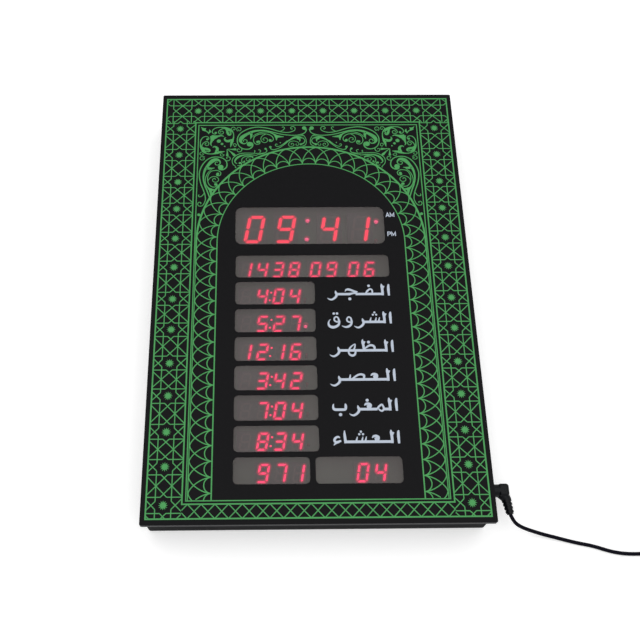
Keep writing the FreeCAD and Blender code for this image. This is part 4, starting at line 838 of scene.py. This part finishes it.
# %% Labels: letters, each as strokes with widths and points
letters = {
    "alif": [([1.3, 2.5, 2.9, 2.2], [(0.4, 10.2), (0, 8.3), (-0.1, 4.4), (0.1, -1.7)])],
    "lam": [([0.9, 2.9, 2.7, 2.8], [(-0.7, 10.6), (-0.4, 8.1), (0, 3.6), (0, -1.4)]),
            ([0.6, 2.2, 2], [(2.2, 7.9), (1.2, 7.7), (0.2, 6)])],
    "fa": [([1.6, 2.1, 2, 1.9, 1.8, 1.7, 1.7], [(-3.3, 0.7), (-2, 2.7), (-0.6, 4.2), (0.8, 5.1), (2.4, 4.6),
            (3, 2.7), (2.8, 0.7)])],
    "jeem": [([0.5, 1.9, 2.7, 2.6, 2.3, 1.5], [(-4.2, 2.7), (-3.1, 4.4), (-1.1, 4.9), (1.7, 4.1), (4.4, 2.9),
              (7.6, 2.2)]),
             ([2.2, 2, 2.5, 2.8], [(6.8, 1), (3.3, 0.9), (1.1, 0.3), (-1.3, 0)])],
    "ra": [([0.7, 2.6, 2.9, 2.6, 2.4, 2.2, 1.6, 0.4], [(0, 3.6), (0.4, 1.7), (1.1, -0.3), (0.4, -2.5),
            (-1.4, -4.4), (-3.6, -5.6), (-5.8, -5.3), (-7.7, -4)])],
    "sheen": [([0.7, 1.6, 2.1], [(0.3, 4.7), (-0.3, 2.5), (-0.9, 0.2)]),
              ([0.7, 1.6, 2.1], [(-2.8, 4.6), (-3.3, 2.5), (-3.9, 0.2)]),
              ([0.7, 1.6, 2.1], [(-7.6, 4.6), (-8.2, 2.5), (-8.8, 0.2)])],
    "waw": [([1.9, 1.7, 1.6, 1.7, 1.9], [(2, -0.1), (0.1, 0), (-1.6, 1.2), (-1.7, 3.3), (-0.1, 5.1),
             (1.8, 4), (2.3, 1.7), (2.1, 0)]),
            ([1.9, 2.1, 2.4, 2.6, 2.2, 1.4, 0.4], [(2.3, 2.2), (2.6, 0), (1.7, -2.7), (-0.3, -4.4),
             (-2.8, -5.1), (-5, -4.6), (-6.7, -3.7)])],
    "qaf": [([1.9, 1.7, 1.6, 1.7, 1.9], [(2, 0.3), (0.1, 0.4), (-1.6, 1.7), (-1.7, 3.8), (-0.1, 5.4),
             (1.8, 4.3), (2.3, 2.1), (2.1, 0.4)]),
            ([1.9, 2.2, 2.5, 2.9, 3.2, 2.7, 2.1, 1.4, 0.5], [(2.4, 2.8), (2.8, 0), (1.9, -2.8), (-0.6, -4.7),
             (-3.6, -5.2), (-6.1, -4.1), (-7.2, -1.7), (-6.7, 0.8), (-5.3, 2.9)])],
    "zah": [([0.9, 2.8, 2.6, 2.6], [(-0.3, 10.9), (-0.3, 8.3), (0.3, 4.4), (0.6, 0.4)]),
            ([0.6, 2.2, 2], [(2.2, 8.4), (1.2, 8.1), (0.3, 6.4)]),
            ([1.2, 1.9, 2.3, 2.5, 2.4, 2.2], [(0.8, 1), (3.3, 3.2), (6.1, 4.9), (8.8, 4.7), (10.3, 3),
             (10.3, 0.7)])],
    "ha": [([1.9, 1.8, 1.4, 1.2, 1.5, 1.8, 1.8], [(-2.9, 0), (-1.7, 2.5), (0.4, 4.7), (2.8, 6.1), (2.9, 4.3),
            (2.1, 1.6), (0.6, -0.4)]),
           ([1.6, 1.9, 2.2, 2.5, 2.3, 2, 1.9], [(-2.9, 0), (-3, -2.5), (-1.7, -4.4), (0.3, -5.1),
            (2.2, -4.2), (3.1, -2.1), (3, 0)])],
    "ain": [([0.7, 2.3, 2.8, 2.6, 2.4, 2.2], [(-3.4, 3.4), (-2.1, 4.8), (0, 5.1), (2, 4.1), (1.9, 2.1),
             (0.4, 0.3)]),
            ([2.8, 3.2, 2.4], [(-0.4, 3.8), (0.1, 2.2), (0, 0.3)])],
    "sad": [([0.8, 1.9, 2.1], [(-7, 4.8), (-7.4, 2.5), (-7.8, 0.3)]),
            ([1.5, 2, 2.1, 2.3, 2.5, 2.3, 2], [(-5.6, 0.7), (-2.5, 2.9), (0, 4.4), (2.7, 4.9), (5, 4),
             (5.2, 2.2), (4.7, 0.4)])],
    "meem": [([1.6, 2.1, 1.9, 1.9, 2.1, 1.9, 1.7, 1.2], [(-3.4, 0), (-1.4, 2.3), (1.1, 4.2), (2.3, 2.7),
              (2.9, 0.3), (1.3, -1.7), (-0.9, -0.8), (-1.9, 0.8)])],
    "ba": [([0.9, 1.9, 2.5, 2.8, 2.8, 2.8, 2.7, 2.6, 1.2], [(-5.3, 5.2), (-5.8, 2.8), (-5.4, 0.7),
            (-4, -0.2), (0, -0.3), (4.1, -0.2), (5.2, 0.7), (5.4, 3.2), (5, 5.3)])],
    "alif_joined": [([0.9, 2.4, 2.8, 2.8], [(-0.3, 10.3), (-0.3, 6.7), (0.2, 1.1), (0.4, -1.2)])],
    "hamza": [([1.2, 2, 2.4, 2.4, 2.4, 2], [(2.4, 3.7), (0.9, 4.6), (-1.1, 3.8), (-2.4, 1.9), (-1.8, 0.2),
               (0.6, 0)]),
              ([1.8, 2.6, 2.2, 0.6], [(3.4, 1), (1.1, 0.1), (-1.3, -1.1), (-3.2, -3)])]}
print("letters:", len(letters))

# %% Labels: the six rows, each a writing line, letters at their places, joining strokes, and dots
label_rows = [
    (-9.6, [("alif", 71.4), ("lam", 65.6), ("fa", 53.1), ("jeem", 34.6), ("ra", 21.4)],
     [(40.3, 65.6), (21.9, 35.3)], [(52.9, 8.6, 1.4), (34.6, -5.0, 1.6)]),
    (-38.4, [("alif", 71.4), ("lam", 65.7), ("sheen", 61.1), ("ra", 45.3), ("waw", 32.8), ("qaf", 21.1)],
     [(45.8, 65.7)], [(56.8, 9.6, 1.1), (55.3, 7.3, 1.1), (58.3, 7.3, 1.1), (19.1, 8.7, 1.3),
                      (22.1, 8.7, 1.3)]),
    (-66.9, [("alif", 71.4), ("lam", 65.6), ("zah", 44.7), ("ha", 34.4), ("ra", 21.7)],
     [(22.5, 65.6)], [(49.8, 8.1, 1.5)]),
    (-95.2, [("alif", 71.4), ("lam", 65.6), ("ain", 53.6), ("sad", 38.9), ("ra", 21.3)],
     [(21.9, 65.6)], []),
    (-123.3, [("alif", 71.4), ("lam", 65.6), ("meem", 57.2), ("ain", 46.4), ("ra", 37.1), ("ba", 21.1)],
     [(37.8, 54.4), (59.7, 65.6)], [(45.7, 8.3, 1.5), (21.6, -4.9, 1.6)]),
    (-153.1, [("alif", 71.4), ("lam", 65.6), ("ain", 51.7), ("sheen", 43.1), ("alif_joined", 24.7),
              ("hamza", 17.8)],
     [(24.6, 65.6)], [(38.7, 9.1, 1.1), (37.2, 6.8, 1.1), (40.4, 6.8, 1.1)])]
pen_weight, dot_weight, join_width = 0.86, 0.93, 2.8
letter_order, orders_per_letter, dot_order = 3, 4, 50
label_strips = []
for baseline, spelled, joins, dots in label_rows:
    label_strips += [vine(np.array(widths) * pen_weight, np.array(points) + [x, baseline],
                          letter_order + orders_per_letter * k + j)
                     for k, (letter, x) in enumerate(spelled)
                     for j, (widths, points) in enumerate(letters[letter])]
    label_strips += [ribbon([(a, baseline), (b, baseline)], join_width * pen_weight, k)
                     for k, (a, b) in enumerate(joins)]
    label_strips += [dot(x, baseline + y, radius * dot_weight, dot_order) for x, y, radius in dots]
ink_mesh("print_prayer_names", label_strips, ink_white)

# %% Labels: AM and PM
capitals = {"A": [[(0.0, 0.0), (1.6, 4.6), (3.2, 0.0)], [(0.65, 1.35), (2.55, 1.35)]],
            "P": [[(0.0, 0.0), (0.0, 4.5), (1.8, 4.5), (2.7, 3.9), (2.7, 2.9), (1.8, 2.2), (0.0, 2.2)]],
            "M": [[(0.0, 0.0), (0.0, 4.5), (1.8, 1.0), (3.6, 4.5), (3.6, 0.0)]]}
half_days = [("A", 73.9, 74.6), ("M", 78.1, 74.6), ("P", 74.5, 53.0), ("M", 78.3, 53.0)]
capital_width = 0.9
ink_mesh("print_half_days", [ribbon(np.array(line) + [x, y], capital_width, k) for letter, x, y in half_days
                             for k, line in enumerate(capitals[letter])], ink_white)

# %% [markdown]
# ## The lit digits
# Each window has a row of seven-segment digits. A segment is a six-sided bar of light in a slot of the
# module's face. The bars are made from the same outline as the slots. An unlit one is dull red plastic, a
# little smaller than its slot and sunk in it, just visible in the window. A lit one is a plain emitter, a
# little fuller than its slot, because its light fills the lens, and lies just over the module's face.

# %% Digits: bars
digit_slant, module_face = math.tan(math.radians(10)), 40.6
slot_gap, slot_share, slot_drop = 0.5, 0.985, -0.18
light_gap, light_lift, light_width_growth, light_stroke_growth = 0.26, 0.02, 0.2, 0.1
lit_bars = {"0": "ABCDEF", "1": "BC", "2": "ABDEG", "3": "ABCDG", "4": "BCFG", "5": "ACDFG", "6": "ACDEFG",
            "7": "ABC", "8": "ABCDEFG", "9": "ABCDFG", " ": ""}


def bar_outlines(width, height, stroke, gap):
    """The seven bars A to G of an upright digit about the origin, each a list of six corners."""
    across, up, half = width / 2 - stroke / 2, height / 2 - stroke / 2, stroke / 2

    def lying(y):
        a, b = -across + gap / 2, across - gap / 2
        return [(b, y), (b - half, y + half), (a + half, y + half), (a, y), (a + half, y - half),
                (b - half, y - half)]

    def upright(x, y0, y1):
        a, b = y0 + gap / 2, y1 - gap / 2
        return [(x, b), (x - half, b - half), (x - half, a + half), (x, a), (x + half, a + half),
                (x + half, b - half)]

    return dict(zip("ABCDEFG", [lying(up), upright(across, 0, up), upright(across, -up, 0), lying(-up),
                                upright(-across, -up, 0), upright(-across, 0, up), lying(0)]))


# %% Digits: what each window shows
big, small = (16.4, 30.6, 3.0), (9.2, 15.6, 1.6)
small_pitch, row_drop, time_y, time_xs = 15.2, 1.0, 64.2, (-54.5, -24.2, 18.4, 48.6)
row_ys = {"date": 20.45, "fajr": -7.9, "sunrise": -36.25, "dhuhr": -64.6, "asr": -92.95, "maghrib": -121.3,
          "isha": -149.65, "codes": -178.0}
light_growth = {y - row_drop: 1.1 if row == "codes" else 0.6 for row, y in row_ys.items()}
colon_x, colon_rise, colon_radius = -39.4, 4.0, 0.95
prayer_times = {"fajr": " 404", "sunrise": " 527", "dhuhr": "1216", "asr": " 342", "maghrib": " 704",
                "isha": " 834"}
groups = [("1438", colon_x, "date"), ("09", 11.4, "date"), ("06", 47.6, "date")]
groups += [(text, colon_x, row) for row, text in prayer_times.items()]
groups += [("971", -31.4, "codes"), ("04", 47.0, "codes")]
large_digits = [(x, time_y, big, shown) for x, shown in zip(time_xs, "0941")]
small_digits = [(middle + (k + 0.5 - len(text) / 2) * small_pitch, row_ys[row] - row_drop, small, shown)
                for text, middle, row in groups for k, shown in enumerate(text)]
print("digits:", len(large_digits + small_digits))


def digit_bars(x, y, size, shown, lit):
    """The bars of one digit that are lit, or that aren't: the outlines, sheared by the slant and moved."""
    width, height, stroke = size
    gap, share, rise = slot_gap, slot_share, slot_drop
    if lit:
        width, height = width + light_width_growth, height + light_growth.get(y, 0.0)
        stroke, gap, share, rise = stroke + light_stroke_growth, light_gap, 1.0, light_lift
    bars = []
    for letter, outline in bar_outlines(width, height, stroke, gap).items():
        if (letter in lit_bars[shown]) == lit:
            corners = np.array(outline) * share
            corners[:, 0] += corners[:, 1] * digit_slant
            corners += [x, y]
            bars.append(patch(corners, corners.mean(0), 0, module_face + rise))
    return bars


def bars_of(chosen, lit):
    """All bars of some digits that are lit, or that aren't."""
    return [bar for digit in chosen for bar in digit_bars(*digit, lit)]


# %% Digits: light
glow_top, glow_foot = 20, -178


def glow(name, colour, strength, far_strength):
    """A coloured light source, uneven by a tenth, whose strength changes from the date row to the lowest."""
    net = new_net(name)
    uneven = net.scaled(net.noise(350.0, 1.0), 0.3, 0.7, 0.9, 1.1)
    row = net.scaled(net.axis("Y"), glow_top * MM, glow_foot * MM, strength, far_strength)
    return net.done(Base_Color=(0.4, 0.01, 0.01, 1), Roughness=0.4, Emission_Color=(*colour, 1),
                    Emission_Strength=net.math("MULTIPLY", uneven, row))


big_red = glow("segment_lit_large", (1.0, 0.004, 0.058), 2.6, 2.6)
small_red = glow("segment_lit_small", (1.0, 0.006, 0.106), 2.6, 3.7)
unlit_red = grained("segment_unlit", (0.085, 0.042, 0.042), (0.115, 0.055, 0.055), 0.5, 0.4)
ink_mesh("segments_time", bars_of(large_digits, True), big_red)
ink_mesh("segments_rows", bars_of(small_digits, True), small_red)
ink_mesh("segments_unlit", bars_of(large_digits + small_digits, False), unlit_red)

# %% Digits: colons
colons = [dot(colon_x + rise * digit_slant, row_ys[row] - row_drop + rise, colon_radius, 0,
              module_face + light_lift) for row in prayer_times for rise in (colon_rise, -colon_rise)]
ink_mesh("segments_colons", colons, small_red)

# %% [markdown]
# ### Round indicator lamps
# The clock's colon, the half-day lamps and the prayer markers are domed red LEDs. Only the dome of a lamp
# that is on shines. The nodes compare the place: high enough for a dome, and inside the lit box.

# %% Indicator lamps
dome_foot = 38.6


def lamps(name, strength, lit_boxes):
    """Red epoxy whose domes shine inside the given boxes (low x, high x, low y, high y, in mm)."""
    net = new_net(name)
    dome = net.math("GREATER_THAN", net.axis("Z"), dome_foot * MM)
    lit = 0.0
    for low_x, high_x, low_y, high_y in lit_boxes:
        inside = dome
        for axis, low, high in (("X", low_x, high_x), ("Y", low_y, high_y)):
            inside = net.math("MULTIPLY", inside, net.math("GREATER_THAN", net.axis(axis), low * MM))
            inside = net.math("MULTIPLY", inside, net.math("LESS_THAN", net.axis(axis), high * MM))
        lit = net.math("ADD", lit, inside)
    return net.done(Base_Color=net.ramp(net.noise(500.0, 2.0), (0.16, 0.008, 0.008), (0.24, 0.014, 0.014)),
                    Roughness=0.2, Emission_Color=(1.0, 0.075, 0.22, 1),
                    Emission_Strength=net.math("MULTIPLY", lit, strength))


colon_box, half_day_box, sunrise_box = (-8, 2, 50, 80), (60, 70, 66, 80), (-12, -2, -44, -35)
dress(lamps("led_time_lamps", 2.4, [colon_box, half_day_box]), "time_leds")
dress(lamps("led_prayer_lamps", 2.6, [sunrise_box]), "prayer_leds")

# %% [markdown]
# ### The glow round lit bars
# Smoky acrylic scatters a little of the light that passes it, so a lit bar wears a soft red rim. The rim is
# a thin wedge just over the module: full at the bar and nothing at its outer edge. A value stored on the
# points says how full it is, and the material reads it as its cover.

# %% Glow: wedges round outlines
rim_height, rim_step, rim_thickness, rim_clearance = module_face + 0.12, 0.0004, 0.02, 0.02
large_reach, small_reach, lamp_reach, fall_off = 1.9, 2.1, 1.8, 1.8


def rim(outline, reach, order):
    """A wedge round a convex outline: each corner is pushed out along both edge normals and their middle."""
    outline = np.asarray(outline, float)
    way = np.roll(outline, -1, axis=0) - outline
    normal = np.stack([way[:, 1], -way[:, 0]], axis=1) / np.linalg.norm(way, axis=1)[:, None]
    before = np.roll(normal, 1, axis=0)
    middle = (before + normal) / np.linalg.norm(before + normal, axis=1)[:, None]
    fan = np.stack([before, middle, normal], axis=1).reshape(-1, 2)
    foot = np.repeat(outline, 3, axis=0)
    height, count = rim_height + rim_step * (order % ink_orders), len(fan)
    points = np.vstack([np.column_stack([foot + far * fan, np.full(count, height + lift)]) for far, lift in (
        (rim_clearance, rim_thickness), (reach, 0.0), (rim_clearance, -rim_thickness))])
    here = np.arange(count)
    there = (here + 1) % count
    faces = np.vstack([np.stack([here, here + count, there + count, there], axis=1),
                       np.stack([here + count, here + 2 * count, there + 2 * count, there + count], axis=1),
                       np.stack([here + 2 * count, here, there, there + 2 * count], axis=1)])
    return points, [tuple(f) for f in faces.tolist()]


# %% Glow: material and piece
def rim_material(name, colour, cover):
    """A plain red light whose cover is the stored fullness, to a power, so that it falls off softly."""
    net = new_net(name)
    soft = net.math("POWER", net.add("Attribute", {"attribute_name": "fullness"}).outputs["Fac"], fall_off)
    return net.done(Base_Color=(0.02, 0.0, 0.0, 1), Roughness=0.6, Specular_IOR_Level=0.0,
                    Emission_Color=(*colour, 1), Emission_Strength=1.0,
                    Alpha=net.math("MULTIPLY", soft, cover))


def rim_piece(name, outlines, reach, material):
    """All rims of one kind, with fullness 1 on the inner points of each wedge and 0 on its outer points."""
    wedges = [rim(outline, reach, k) for k, outline in enumerate(outlines)]
    piece = ink_mesh(name, wedges, material)
    fullness = np.concatenate([np.repeat([1.0, 0.0, 1.0], 3 * len(outline)) for outline in outlines])
    piece.data.attributes.new("fullness", "FLOAT", "POINT").data.foreach_set("value", fullness)


# %% Glow: round the digits and lamps
def lit_outlines(chosen):
    """The outlines of the lit bars of some digits, counter-clockwise."""
    return [points[:(len(points) - 2) // 2, :2] for points, _ in bars_of(chosen, True)]


lit_lamps = [(-2.6, 74.75, 1.9), (-3.8, 53.65, 1.9), (64.7, 73.2, 1.9), (-7.0, -38.55, 1.4)]
rim_piece("glow_time", lit_outlines(large_digits), large_reach,
          rim_material("glow_large", (0.80, 0.006, 0.045), 0.62))
rim_piece("glow_rows", lit_outlines(small_digits), small_reach,
          rim_material("glow_small", (0.85, 0.006, 0.092), 0.74))
rim_piece("glow_lamps", [circle(*lamp, sides=12) for lamp in lit_lamps], lamp_reach,
          rim_material("glow_lamp", (0.9, 0.03, 0.14), 0.55))
